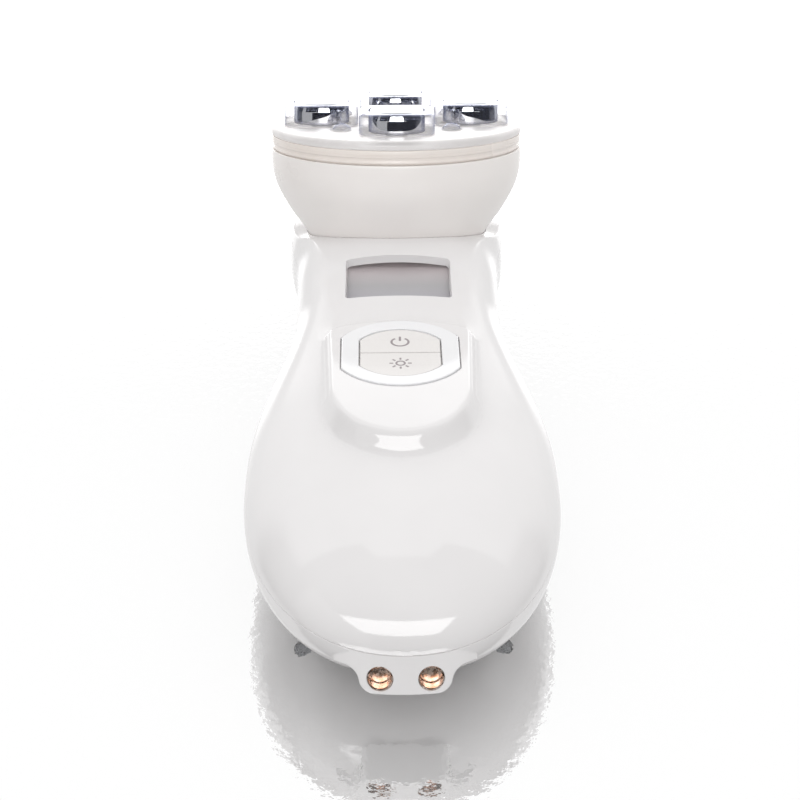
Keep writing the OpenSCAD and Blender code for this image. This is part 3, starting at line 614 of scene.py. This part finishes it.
def crease_x(s, o):
    """Where the neck's panel meets the side, or a share of the width where it doesn't."""
    low, high = 0, hull_x(split_z(s), s, o)
    for _ in range(24):
        middle = (low + high) / 2
        if hull_z(middle, s, o) > panel_z(middle, s) - o:
            low = middle
        else:
            high = middle
    share = curve([[20, 0.6], [60, 0.72], [POD_Y, 0.88]], s)
    return min(max(low, share * half_w(s, o)), 0.985 * hull_x(split_z(s), s, o))


def rim_step(column):
    """Inset and lift of the first columns, which round the rim."""
    turn = pi / 2 * column / RIM_COLS
    return RIM_ROUND * (1 - sin(turn)), RIM_GAP + RIM_ROUND * (1 - cos(turn))


def front_point(row, column, o):
    """Point of the front's right half, from the rim to the middle."""
    if column < RIM_COLS and o == 0:
        inset, lift = rim_step(column)
        s = station(row, inset)
        return Vector((hull_x(split_z(s), s, inset), s, split_z(s) + lift))
    s = station(row, o)
    column = max(0, column - RIM_COLS)
    width, n = half_w(s, o), top_n(s)
    rim = hull_x(split_z(s), s, o)
    edge = crease_x(s, o)
    if column >= SIDE_COLS:
        share = 1 - (column - SIDE_COLS) / TOP_COLS
        x = edge * (1 - (1 - share) ** 1.5)
        return Vector((x, s, skin_z(x, s, o)))
    if width <= 0:
        return Vector((0, s, split_z(s) + RIM_GAP))
    start, end = (acos(min(1, (x / width) ** (n / 2))) for x in (rim, edge))
    share = 1 - (1 - column / SIDE_COLS) ** 1.5
    x = width * cos(start + (end - start) * share) ** (2 / n)
    lift = RIM_GAP + (RIM_ROUND if o == 0 else 0)
    return Vector((x, s, max(skin_z(x, s, o), split_z(s) + lift * (1 + 0.2 * column))))


def back_point(row, column, o):
    """Point of the back's right half, from the rim to the middle."""
    if column < RIM_COLS and o == 0:
        inset, lift = rim_step(column)
        s = station(row, inset)
        return Vector((hull_x(split_z(s), s, inset), s, split_z(s) - lift))
    s = station(row, o)
    column = max(0, column - RIM_COLS)
    width, n, tall = half_w(s, o), top_n(s), top_z(s, o) - wide_z(s)
    over = ((split_z(s) - wide_z(s)) / tall) ** (n / 2) if tall > 0 else 0
    first = -asin(max(0, min(1, over)))
    angle = first + (pi / 2 - first) * column / BACK_COLS
    lift = RIM_GAP + (RIM_ROUND if o == 0 else 0)
    if angle < 0:
        x, z = width * cos(angle) ** (2 / n), wide_z(s) + tall * sin(-angle) ** (2 / n)
    else:
        x = width * max(0, cos(angle)) ** (2 / BACK_N)
        z = wide_z(s) - back_d(s, o) * sin(angle) ** (2 / BACK_N)
    floor = soft_max(z, o, 0.6) if o == 0 else max(z, o)
    return Vector((x, s, min(floor, split_z(s) - lift * (1 + 0.2 * column))))


def laid_grid(bm, point, columns, o):
    """Lays a grid over the skin, mirrored about the middle."""
    half = columns + RIM_COLS
    grid = bmesh.ops.create_grid(bm, x_segments=2 * half, y_segments=ROWS, size=1)["verts"]
    for vertex in grid:
        column = round((vertex.co.x + 1) * half)
        row = round((vertex.co.y + 1) / 2 * ROWS)
        side = (column > half) - (column < half)
        found = point(row, min(column, 2 * half - column), o)
        vertex.co = Vector((side * found.x, found.y, found.z))


def shell(point, columns):
    """Outer and inner skin of a shell, joined at the rim."""
    bm = bmesh.new()
    laid_grid(bm, point, columns, 0)
    laid_grid(bm, point, columns, WALL)
    bmesh.ops.remove_doubles(bm, verts=bm.verts, dist=0.002)
    rims = [e for e in bm.edges if e.is_boundary]
    bmesh.ops.bridge_loops(bm, edges=rims)
    bmesh.ops.recalc_face_normals(bm, faces=bm.faces)
    return bm


# %% [markdown]
# The front shell is opened for the head, the display and the keys. The
# display's opening narrows inwards, like a moulded frame.

# %% Front shell
LCD_W, LCD_H, LCD_NARROW = 26, 16, 2.6
SEAT_R, OPEN_R, RING_R, RING_W, FLAT_CUT = 15.15, 12.65, 14.85, 3.85, 1.8
BOWL = [[-23, 22], [-21.2, 22.02], [-20.5, 22.25], [-19.4, 22.9], [-17.6, 24.15], [-15.5, 25.75],
        [-13.4, 27.05], [-10.7, 28.55], [-8, 29.75], [-5, 30.5], [-2.5, 30.72], [0.9, 30.75]]
BOWL_FLOOR = BOWL[0][0]
BOWL_RIM = 0.35                    # height of the bowl's rim over the rim circle
WELL_GAP, WELL_FLOOR, WELL_TOP = 0.14, BOWL_FLOOR - 0.2, -6


def bowl_curve(start, stop, step, grow=0):
    """Points of the bowl's outside between two heights."""
    count = ceil((stop - start) / step)
    heights = [start + (stop - start) * i / count for i in range(count + 1)]
    return [(curve(BOWL, h) + grow, h) for h in heights]


front = shell(front_point, SIDE_COLS + TOP_COLS)
well = spun([(0, WELL_FLOOR)] + bowl_curve(WELL_FLOOR, WELL_TOP, 0.8, WELL_GAP) + [(0, WELL_TOP)], 160)
well.transform(AT_HEAD)
front = combine(front, well)
opening = rounded_box(LCD_W, LCD_H, -5, 3, 1)
for vertex in opening.verts:
    if vertex.co.z < 0:
        vertex.co.x *= (LCD_W - LCD_NARROW) / LCD_W
        vertex.co.y *= (LCD_H - LCD_NARROW) / LCD_H
opening.transform(AT_LCD)
front = combine(front, opening)
keyway = flat_disc(OPEN_R + 0.2, FLAT_CUT, 4, 14)
keyway.transform(AT_KEYS)
front = combine(front, keyway)
finish_piece(front, "front_shell_skin", gloss_abs, replaces=["front_shell"])

# %% [markdown]
# The back shell carries the charging tab. Its outline is a few corners with
# rounded turns, its front face is bent like the shell above it, and the bores
# for the charging cups and the closing screws go through both.

# %% Back shell with its tab
CUP_R, SOCKET_X = 2.6, 5.1
SCREWS = [(21, -27, 7), (19, 52, 13)]
SCREW_HEAD_R = 2.4
TAB_CORNER, TAB_EDGE, TAB_FLANK = 3, 0.45, 5
SNAP = 0.001                       # points this close to a cutting plane count as on it


def tip_fall(x):
    """How far the plan curve falls back from its tip at x."""
    return TAIL_LEN * (1 - bow(abs(x) / (BULB_W / 2), TAIL_N)) * cos(radians(TAB_TILT))


def tab_block():
    """The tab's body, divided finely enough for its face to be bent like the shell above it."""
    side, low, flank = TAB_W / 2, -TAB_LOW, TAB_W / 2 + TAB_FLANK
    corners = [(-side, low), (side, low), (side, 2), (flank, 2),
               (flank, 8), (-flank, 8), (-flank, 2), (-side, 2)]
    bm = outline(corners, [TAB_CORNER] * 3 + [0] * 4 + [TAB_CORNER], 0, 10)
    extruded(bm, 9)
    soften(bm, 0, TAB_EDGE)
    for normal in (Vector((1, 0, 0)), Vector((0, 1, 0))):
        for i in range(-18, 19):
            sliced(bm, normal * side * i / 12, normal, clear=False, snap=SNAP)
    for vertex in bm.verts:
        if vertex.co.z > -3:
            past = max(0, abs(vertex.co.x) - side + 0.5)
            vertex.co.z -= tip_fall(vertex.co.x) + 0.05 * past ** 2
    bm.transform(AT_TAB)
    top = SEAM_Z - RIM_GAP - 0.04      # just under the shell's rim, so that the two share no plane
    sliced(bm, (0, 0, top), (0, 0, 1), snap=SNAP)
    bmesh.ops.edgeloop_fill(bm, edges=[e for e in bm.edges if e.is_boundary])
    return bm


back = shell(back_point, BACK_COLS)
back = combine(back, tab_block(), "UNION")
for side in (-1, 1):
    at = AT_TAB @ Matrix.Translation((side * SOCKET_X, 0, 0))
    back = combine(back, rod(CUP_R + 0.05, -6, 4, at, 64))
    for x, y, z in SCREWS:
        at = Matrix.Translation((side * x, y, z))
        back = combine(back, rod(SCREW_HEAD_R + 0.2, -20, 0, at, 48))
finish_piece(back, "back_shell_skin", gloss_abs, replaces=["back_shell"])

# %% [markdown]
# A rib inside the seam closes the view into the housing. Its greyed cream is painted shade for the groove,
# and a few brown specks of about a millimetre lie on it.


# %% Rib inside the seam
def seam_loop(bm, inset, lift):
    """Closed loop round the seam, inset and lifted."""
    right = []
    for row in range(ROWS + 1):
        s = station(row, inset)
        right.append(Vector((hull_x(split_z(s), s, inset), s, split_z(s) + lift)))
    left = [Vector((-p.x, p.y, p.z)) for p in right[-2:0:-1]]
    points = [bm.verts.new(p) for p in right + left]
    return [bm.edges.new(pair) for pair in zip(points, points[1:] + points[:1])]


rib = bmesh.new()
loops = [seam_loop(rib, *corner) for corner in ((0.22, -0.4), (0.22, 0.4), (1.2, 0.4), (1.2, -0.4))]
for first, second in zip(loops, loops[1:] + loops[:1]):
    bmesh.ops.bridge_loops(rib, edges=first + second)
finish_piece(rib, "seam_rib", rib_abs)

# %% [markdown]
# ## The mound and its keys
# The raised mound is moulded in one with the front shell. Its outline is two
# half ellipses; rings of it, each a little further out and lower, make the
# wall, which runs out on the shell's skin in a soft foot.

# %% Button mound
MOUND_W, NOSE_Y, NOSE_L, FAR_Y, FAR_L = 29, -14, 18.9, 10, 5
WALL_FALL = [[0, 0], [0.7, -0.15], [1.4, -0.6], [2, -1.3], [2.6, -2.2], [3.2, -3.1],
             [4, -4.1], [5, -5.3], [6, -6.5]]
FOOT_ROUND = 0.9
MOUND_RINGS = [0.25 * i for i in range(17)] + [4.4, 4.8, 5.3, 5.8]
MOUND_STEPS = 160


def mound_point(turn, c):
    """Point of the mound's outline, moved out by c, in its own plane."""
    angle = 2 * pi * turn
    if sin(angle) < 0:
        return (MOUND_W / 2 + 0.6 * c) * cos(angle), NOSE_Y + (NOSE_L + c) * sin(angle)
    x = (MOUND_W / 2 + 0.8 + 0.6 * c) * cos(angle)
    return x, FAR_Y + (FAR_L + 0.6 * c) * sin(angle) ** 0.8


def mound():
    bm = bmesh.new()
    slope = tan(radians(KEY_TILT))

    def ring(c, sink):
        points = []
        for i in range(MOUND_STEPS):
            x, y = mound_point(i / MOUND_STEPS, c)
            s = KEY_Y + y * cos(radians(KEY_TILT))
            top = KEY_Z - (s - KEY_Y) * slope
            z = top + curve(WALL_FALL, c)
            if c > 0:
                z = soft_max(z, skin_z(x, s), FOOT_ROUND)
            points.append(bm.verts.new((x, s, z - sink)))
        return [bm.edges.new(pair) for pair in zip(points, points[1:] + points[:1])]

    rings = [ring(c, 0) for c in MOUND_RINGS[:-1]] + [ring(MOUND_RINGS[-1], 0.06), ring(4.4, 1.2)]
    rings.insert(0, ring(-0.8, 0))
    for upper, lower in zip(rings, rings[1:]):
        bmesh.ops.bridge_loops(bm, edges=upper + lower)
    bmesh.ops.contextual_create(bm, geom=rings[0])
    bmesh.ops.contextual_create(bm, geom=rings[-1])
    return bm


raised = mound()
seat = flat_disc(SEAT_R, FLAT_CUT, 4, 5)
seat.transform(AT_KEYS)
raised = combine(raised, seat)
keyway = flat_disc(OPEN_R, FLAT_CUT, 4, 14)
keyway.transform(AT_KEYS)
raised = combine(raised, keyway)
finish_piece(raised, "button_mound", gloss_abs)

# %% [markdown]
# The ring round the keys is one even band: a disc with flat sides, inset by
# its width, with the middle taken out. Two half keys fill it, and each bears
# a plain printed sign: a stroke in a broken circle, and a lamp with rays.

# %% Ring and keys
RING_TOP, LEDGE_Z, KEY_TOP, LINE = 0.35, -1, 0.15, 0.3
STEM_R, STEM_FOOT, STEM_Y = 2.1, -5.7, 5


def key_ring():
    bm = flat_disc(RING_R, FLAT_CUT, RING_TOP, RING_TOP - LEDGE_Z)
    hole = flat_disc(RING_R - RING_W, FLAT_CUT, RING_TOP + 1, 4)
    bm = combine(bm, hole)
    return soften(bm, RING_TOP, 0.22, 3)


def half_disc(side, radius, z, depth):
    """The closed half of a flat-sided disc on one side of the line between the keys."""
    bm = flat_disc(radius, FLAT_CUT, z, depth)
    sliced(bm, (0, side * LINE / 2, 0), (0, -side, 0))
    bmesh.ops.holes_fill(bm, edges=[e for e in bm.edges if e.is_boundary])
    return bm


def half_key(side):
    """One key: its face, the flange under the ring and the stem on its switch."""
    bm = half_disc(side, RING_R - RING_W - LINE, KEY_TOP, KEY_TOP - LEDGE_Z + 0.5)
    soften(bm, KEY_TOP, 0.18, 3)
    bm = combine(bm, half_disc(side, OPEN_R - LINE, LEDGE_Z - 0.05, 1.15), "UNION")
    stem = rod(STEM_R, STEM_FOOT, LEDGE_Z - 1, Matrix.Translation((0, side * STEM_Y, 0)))
    return combine(bm, stem, "UNION")


finish_piece(key_ring(), "key_ring", ring_abs, AT_KEYS, replaces=["button_bezel"])
for side, name in ((1, "power_key"), (-1, "led_select_key")):
    finish_piece(half_key(side), name + "_cap", key_abs, AT_KEYS, body=name,
                 replaces=[name])

# %% Printed signs
PRINT = 0.02


def arc_mark(radius, width, start, sweep, steps):
    """Flat printed arc round the origin."""
    bm = bmesh.new()
    ends = [bm.verts.new((r * cos(start), r * sin(start), 0))
            for r in (radius - width / 2, radius + width / 2)]
    bmesh.ops.spin(bm, geom=ends + [bm.edges.new(ends)], cent=(0, 0, 0), axis=(0, 0, 1), angle=sweep,
                   steps=steps, use_merge=sweep > 6.2)
    return bm


def printed(bm, name, body, y):
    """Gives a sign its film thickness and sets it on its key."""
    bmesh.ops.remove_doubles(bm, verts=bm.verts, dist=0.002)
    bmesh.ops.recalc_face_normals(bm, faces=bm.faces)
    extruded(bm, -PRINT)
    at = AT_KEYS @ Matrix.Translation((0, y, KEY_TOP + 0.003))
    finish_piece(bm, name, mark_ink, at, body=body)


def bar(x0, y0, x1, y1, width, bm):
    """Flat printed stroke between two points."""
    along = Vector((x1 - x0, y1 - y0, 0)).normalized()
    across = Vector((-along.y, along.x, 0)) * width / 2
    a, b = Vector((x0, y0, 0)), Vector((x1, y1, 0))
    bm.faces.new([bm.verts.new(p) for p in (a - across, b - across, b + across, a + across)])


power_sign = arc_mark(1.9, 0.5, radians(125), radians(290), 40)
bar(0, 0.5, 0, 2.5, 0.5, power_sign)
printed(power_sign, "power_sign", "power_key", 4.9)
lamp_sign = arc_mark(0.95, 0.42, 0, 2 * pi, 32)
for k in range(8):
    turn = pi / 4 * k
    bar(1.6 * cos(turn), 1.6 * sin(turn), 2.45 * cos(turn), 2.45 * sin(turn), 0.42, lamp_sign)
printed(lamp_sign, "lamp_sign", "led_select_key", -5)

# %% [markdown]
# ## The head
# Bowl, cream ring and clear cap are turned shapes, so each is an outline spun
# round the head's axis.

# %% Bowl and trim ring
BOWL_WALL, WIRE_R, SKIRT_IN_R = 2, 6, 20
bowl_outer = bowl_curve(BOWL_FLOOR, BOWL_RIM - 0.25, 0.7)
bowl_inner = [(r - BOWL_WALL, h) for r, h in reversed(bowl_curve(-19.4, -1, 1.2))]
bowl_profile = ([(WIRE_R, BOWL_FLOOR + BOWL_WALL), (WIRE_R, BOWL_FLOOR)] + bowl_outer
                + [(HEAD_R - 0.07, BOWL_RIM - 0.1), (HEAD_R - 0.22, BOWL_RIM), (HEAD_R - BOWL_WALL, BOWL_RIM)]
                + bowl_inner + [(SKIRT_IN_R, BOWL_FLOOR + BOWL_WALL)])
finish_piece(spun(bowl_profile, 176), "head_bowl_shell", bowl_abs, AT_HEAD,
             replaces=["head_bowl"])

trim_profile = [(28.15, 0.4), (30.0, 0.4), (30.02, 0.72), (30.4, 0.74), (30.55, 0.85), (30.6, 1.05),
                (30.55, 1.25), (30.42, 1.36), (30.36, 1.7), (30.42, 2.02), (30.6, 2.14), (30.68, 2.3),
                (30.7, 2.7), (30.62, 2.78), (30.7, 2.86), (30.7, 3.7), (30.62, 3.84), (30.5, 3.9),
                (28.15, 3.9)]
finish_piece(spun(trim_profile, 176), "head_trim_band", trim_abs, AT_HEAD,
             replaces=["head_trim_ring"])

# %% [markdown]
# The electrodes are chromed pillows: a squircle in plan, whose side bulges a
# little and turns into a flat top over a tight edge. The clear cap has a
# boss round each and four small domes over the lamps.

# %% Electrodes and cap
CAP_H, BOSS_H, BOSS_W, BOSS_CORNER, RING_H1 = 6.17, 11.33, 18, 4, 3.9
ELECTRODE_W, SQUIRCLE = 13.4, 2.5
PITCH_X, PITCH_Y, DOME_X, DOME_R = 18.3, 15.3, 13.2, 2.6
POCKET_H = CAP_H + 0.25
SPOTS = {"front": (0, -PITCH_Y), "rear": (0, PITCH_Y), "left": (-PITCH_X, 0), "right": (PITCH_X, 0)}
PILLOW = [(0, 0.15), (0, 2.9), (0.05, 3.4), (0.14, 3.9), (0.27, 4.4), (0.42, 4.8), (0.55, 4.98), (0.75, 5.1),
          (1.05, 5.17), (1.6, 5.2), (3, 5.21)]


def squircle(bm, size, z, steps=112):
    """Ring of edges of a superellipse with this half size."""
    ring = bmesh.ops.create_circle(bm, cap_ends=False, radius=1, segments=steps)["verts"]
    for vertex in ring:
        x, y = vertex.co.x, vertex.co.y
        stretch = (abs(x) ** SQUIRCLE + abs(y) ** SQUIRCLE) ** (-1 / SQUIRCLE)
        vertex.co = Vector((x * stretch * size, y * stretch * size, z))
    return [e for e in bm.edges if e.verts[0] in ring and e.verts[1] in ring]


def pillow(grow, layers):
    """Squircle body through layers of (inset, height)."""
    bm = bmesh.new()
    rings = [squircle(bm, ELECTRODE_W / 2 + grow - inset, POCKET_H + h) for inset, h in layers]
    for lower, upper in zip(rings, rings[1:]):
        bmesh.ops.bridge_loops(bm, edges=lower + upper)
    bmesh.ops.contextual_create(bm, geom=rings[0])
    bmesh.ops.contextual_create(bm, geom=rings[-1])
    return bm


for name, (x, y) in SPOTS.items():
    plate = combine(pillow(0, PILLOW), rod(2.5, 2, POCKET_H + 0.5), "UNION")
    at = AT_HEAD @ Matrix.Translation((x, y, 0))
    finish_piece(plate, f"electrode_{name}_plate", chrome, at,
                 replaces=[f"electrode_{name}"])

cap_profile = [(0, RING_H1 + 0.02), (HEAD_R - 0.3, RING_H1 + 0.02), (HEAD_R - 0.12, 4.1), (CAP_R, CAP_R_H),
               (HEAD_R - 0.27, 5.3), (HEAD_R - 0.45, 5.65), (HEAD_R - 0.9, 5.95), (HEAD_R - 1.5, 6.12),
               (HEAD_R - 2.2, CAP_H), (0, CAP_H)]
cap = spun(cap_profile, 160)
for x, y in SPOTS.values():
    boss = rounded_box(BOSS_W, BOSS_W, RING_H1 + 0.8, BOSS_H, BOSS_CORNER, 1.1, 10)
    boss.transform(Matrix.Translation((x, y, 0)))
    cap = combine(cap, boss, "UNION")
for x in (-DOME_X, DOME_X):
    for y in (-DOME_X, DOME_X):
        dome = bmesh.new()
        bmesh.ops.create_uvsphere(dome, u_segments=40, v_segments=20, radius=DOME_R)
        bmesh.ops.translate(dome, verts=dome.verts, vec=(x, y, CAP_H - 0.9))
        cap = combine(cap, dome, "UNION")
for x, y in SPOTS.values():
    pocket = combine(pillow(0.08, [(0, 0), (0, 9)]), rod(2.55, 0, POCKET_H + 0.5), "UNION")
    pocket.transform(Matrix.Translation((x, y, 0)))
    cap = combine(cap, pocket)
finish_piece(cap, "clear_cap", cap_acrylic, AT_HEAD, replaces=["lens_cover"])

# %% [markdown]
# ## Charging cups
# Two copper cups sit in the tab, each a short turned tube with a floor.

# %% Charging cups
cup_profile = [(0, -3.9), (0, -4.7), (2.3, -4.7), (2.6, -4.4), (2.6, -0.85), (2.5, -0.72), (2.35, -0.7),
               (2.22, -0.85), (2.2, -1.1), (2.2, -3.6), (2.0, -3.85)]
for side, name in ((-1, "left"), (1, "right")):
    at = AT_TAB @ Matrix.Translation((side * SOCKET_X, 0, 0))
    cup = combine(spun(cup_profile, 64), rod(1, -9.2, -4.5), "UNION")
    finish_piece(cup, f"charge_cup_{name}", copper, at,
                 replaces=[f"charge_contact_{name}"])

# %% [markdown]
# ## The studio
# A pale floor, an even white world for soft light, and cards that only
# reflections see: a bright backdrop behind, a softbox over the camera and a
# grey card on the left. Two black flags hide the softbox from parts of the
# electrodes. What the cards leave dark gives the chrome its contrast.


# %% Floor
def stage_plate(name, corners, material):
    """A flat stage card through its corners, in metres."""
    bm = bmesh.new()
    bm.faces.new([bm.verts.new(c) for c in corners])
    mesh = bpy.data.meshes.new(name)
    bm.to_mesh(mesh)
    bm.free()
    mesh.materials.append(material)
    card = bpy.data.objects.new(name, mesh)
    bpy.context.scene.collection.objects.link(card)
    return card


WORLD_LOW, WORLD_HIGH = 0.9, 1.07     # soft light from the horizon and from above


def floor_material():
    """Matt and pale, with a rippled sheen that throws no light back on the device."""
    material, tree = blank_material("pale_floor")
    path = add(tree, "LightPath")
    tone = add(tree, "MixRGB", {"Fac": path.outputs["Is Camera Ray"], "Color1": (0.6, 0.6, 0.6, 1),
                                "Color2": (1, 1, 1, 1)})
    matt = add(tree, "BsdfDiffuse", {"Color": tone.outputs["Color"]})
    place = add(tree, "TexCoord").outputs["Object"]
    ripple = add(tree, "TexNoise", {"Vector": place, "Scale": cells(1.8), "Detail": 2})
    bump = add(tree, "Bump", {"Height": ripple.outputs["Fac"], "Strength": 0.3, "Distance": 0.2 * MM})
    gloss = add(tree, "BsdfGlossy", {"Color": (1, 1, 1, 1), "Roughness": 0.03,
                                     "Normal": bump.outputs["Normal"]})
    sheen = add(tree, "MapRange", {"Value": path.outputs["Is Diffuse Ray"], "To Min": 0.85, "To Max": 0})
    mixed = add(tree, "MixShader", {"Fac": sheen.outputs["Result"], 1: matt.outputs["BSDF"],
                                    2: gloss.outputs["BSDF"]})
    add(tree, "OutputMaterial", {"Surface": mixed.outputs["Shader"]})
    return material


FLOOR = 1.6
stage_plate("floor", [(-FLOOR, -FLOOR, 0), (FLOOR, -FLOOR, 0), (FLOOR, FLOOR, 0), (-FLOOR, FLOOR, 0)],
            floor_material())


# %% World and cards
FADE_X = 2.8


def glow(name, base, boost):
    """Card of an even glow; boost adds a band low down in the middle, and the far sides fade out."""
    material, tree = blank_material(name)
    place = add(tree, "SeparateXYZ", {"Vector": add(tree, "TexCoord").outputs["Object"]})
    away = arithmetic(tree, "ABSOLUTE", place.outputs["X"])
    low = eased(tree, place.outputs["Z"], 0.1, 0.85, boost, 0)
    band = arithmetic(tree, "MULTIPLY", low, eased(tree, place.outputs["Z"], 0.25, 0.08, 1, 0))
    lit = arithmetic(tree, "MULTIPLY_ADD", band, eased(tree, away, 0.3, 0.9, 1, 0), base)
    strength = arithmetic(tree, "MULTIPLY", lit, eased(tree, away, 1.5, FADE_X, 1, 0))
    light = add(tree, "Emission", {"Color": (1, 1, 1, 1), "Strength": strength})
    add(tree, "OutputMaterial", {"Surface": light.outputs["Emission"]})
    return material


def reflection_card(name, corners, base, boost=0):
    """A glowing card that only reflections see."""
    card = stage_plate(name, corners, glow(name, base, boost))
    card.visible_camera = card.visible_diffuse = card.visible_shadow = False
    card.visible_transmission = card.visible_volume_scatter = False


def upright(x0, x1, y, z0, z1):
    """Corners of a card that stands across the device."""
    return [(x0, y, z0), (x1, y, z0), (x1, y, z1), (x0, y, z1)]


BULB_REF = Vector((0, -0.087, 0.025))      # tail of the bulb, whose shine places the softbox
BOX_W = 0.8
BACK_Y, BACK_TOP = 1.3, 1.2


def box_corner(x, y, z):
    """Corner of the softbox, counted from the bulb in widths of the box."""
    return BULB_REF + Vector((x, y, z)) * BOX_W


reflection_card("backdrop", upright(-FADE_X, FADE_X, BACK_Y, 0, BACK_TOP), 1, 5)
reflection_card("ceiling_sweep", [(-FADE_X, BACK_Y, BACK_TOP), (FADE_X, BACK_Y, BACK_TOP),
                                  (FADE_X, 0.22, 1.45), (-FADE_X, 0.22, 1.45)], 1)
reflection_card("softbox", [box_corner(-1.13, -0.674, 0.804), box_corner(0.75, -0.674, 0.804),
                            box_corner(0.75, -1.428, 0.601), box_corner(-1.13, -1.428, 0.601)], 5.5)
reflection_card("side_card", [(-0.7, -1.5, 0), (-0.7, -0.1, 0), (-0.7, -0.1, 0.5), (-0.7, -1.5, 0.5)], 0.45)
for side, name in ((-1, "flag_left"), (1, "flag_right")):
    reflection_card(name, upright(side * 0.028, side * 0.2, -0.05, 0.1, 0.26), 0)

world = bpy.data.worlds.new("studio")
bpy.context.scene.world = world
world.use_nodes = True
world.cycles.sampling_method = "NONE"
tree = world.node_tree
tree.nodes.clear()
path = add(tree, "LightPath")
upward = add(tree, "SeparateXYZ", {"Vector": add(tree, "TexCoord").outputs["Generated"]}).outputs["Z"]
level = add(tree, "MapRange", {"Value": upward, "To Min": WORLD_LOW, "To Max": WORLD_HIGH})
soft = add(tree, "Background", {"Color": (1, 1, 1, 1), "Strength": level.outputs["Result"]})
dark = add(tree, "Background", {"Color": (1, 1, 1, 1), "Strength": 0.01})
white = add(tree, "Background", {"Color": (1, 1, 1, 1), "Strength": 1})
seen = arithmetic(tree, "MAXIMUM", path.outputs["Is Camera Ray"], path.outputs["Is Transmission Ray"])
mirror = add(tree, "MixShader", {"Fac": path.outputs["Is Glossy Ray"], 1: soft.outputs["Background"],
                                 2: dark.outputs["Background"]})
shown = add(tree, "MixShader", {"Fac": seen, 1: mirror.outputs["Shader"], 2: white.outputs["Background"]})
add(tree, "OutputWorld", {"Surface": shown.outputs["Shader"]})

# %% [markdown]
# ## The camera
# A long lens looks down at 35 degrees from beyond the tail.

# %% Camera
AIM = Vector((0, -33.2, 41)) * MM
DISTANCE, ELEVATION, AZIMUTH = 0.458, 35, -0.8
SENSOR, LENS, SHIFT = 36, 96.75, -0.002
camera = bpy.data.objects.new("camera", bpy.data.cameras.new("camera"))
bpy.context.scene.collection.objects.link(camera)
camera.data.sensor_width, camera.data.lens = SENSOR, LENS
camera.data.clip_start, camera.data.clip_end = 0.01, 20
camera.data.shift_x = SHIFT
turn = Matrix.Rotation(radians(AZIMUTH), 4, "Z") @ Matrix.Rotation(radians(90 - ELEVATION), 4, "X")
camera.matrix_world = Matrix.Translation(AIM) @ turn @ Matrix.Translation((0, 0, DISTANCE))
bpy.context.scene.camera = camera
bpy.context.scene.view_settings.view_transform = "Standard"
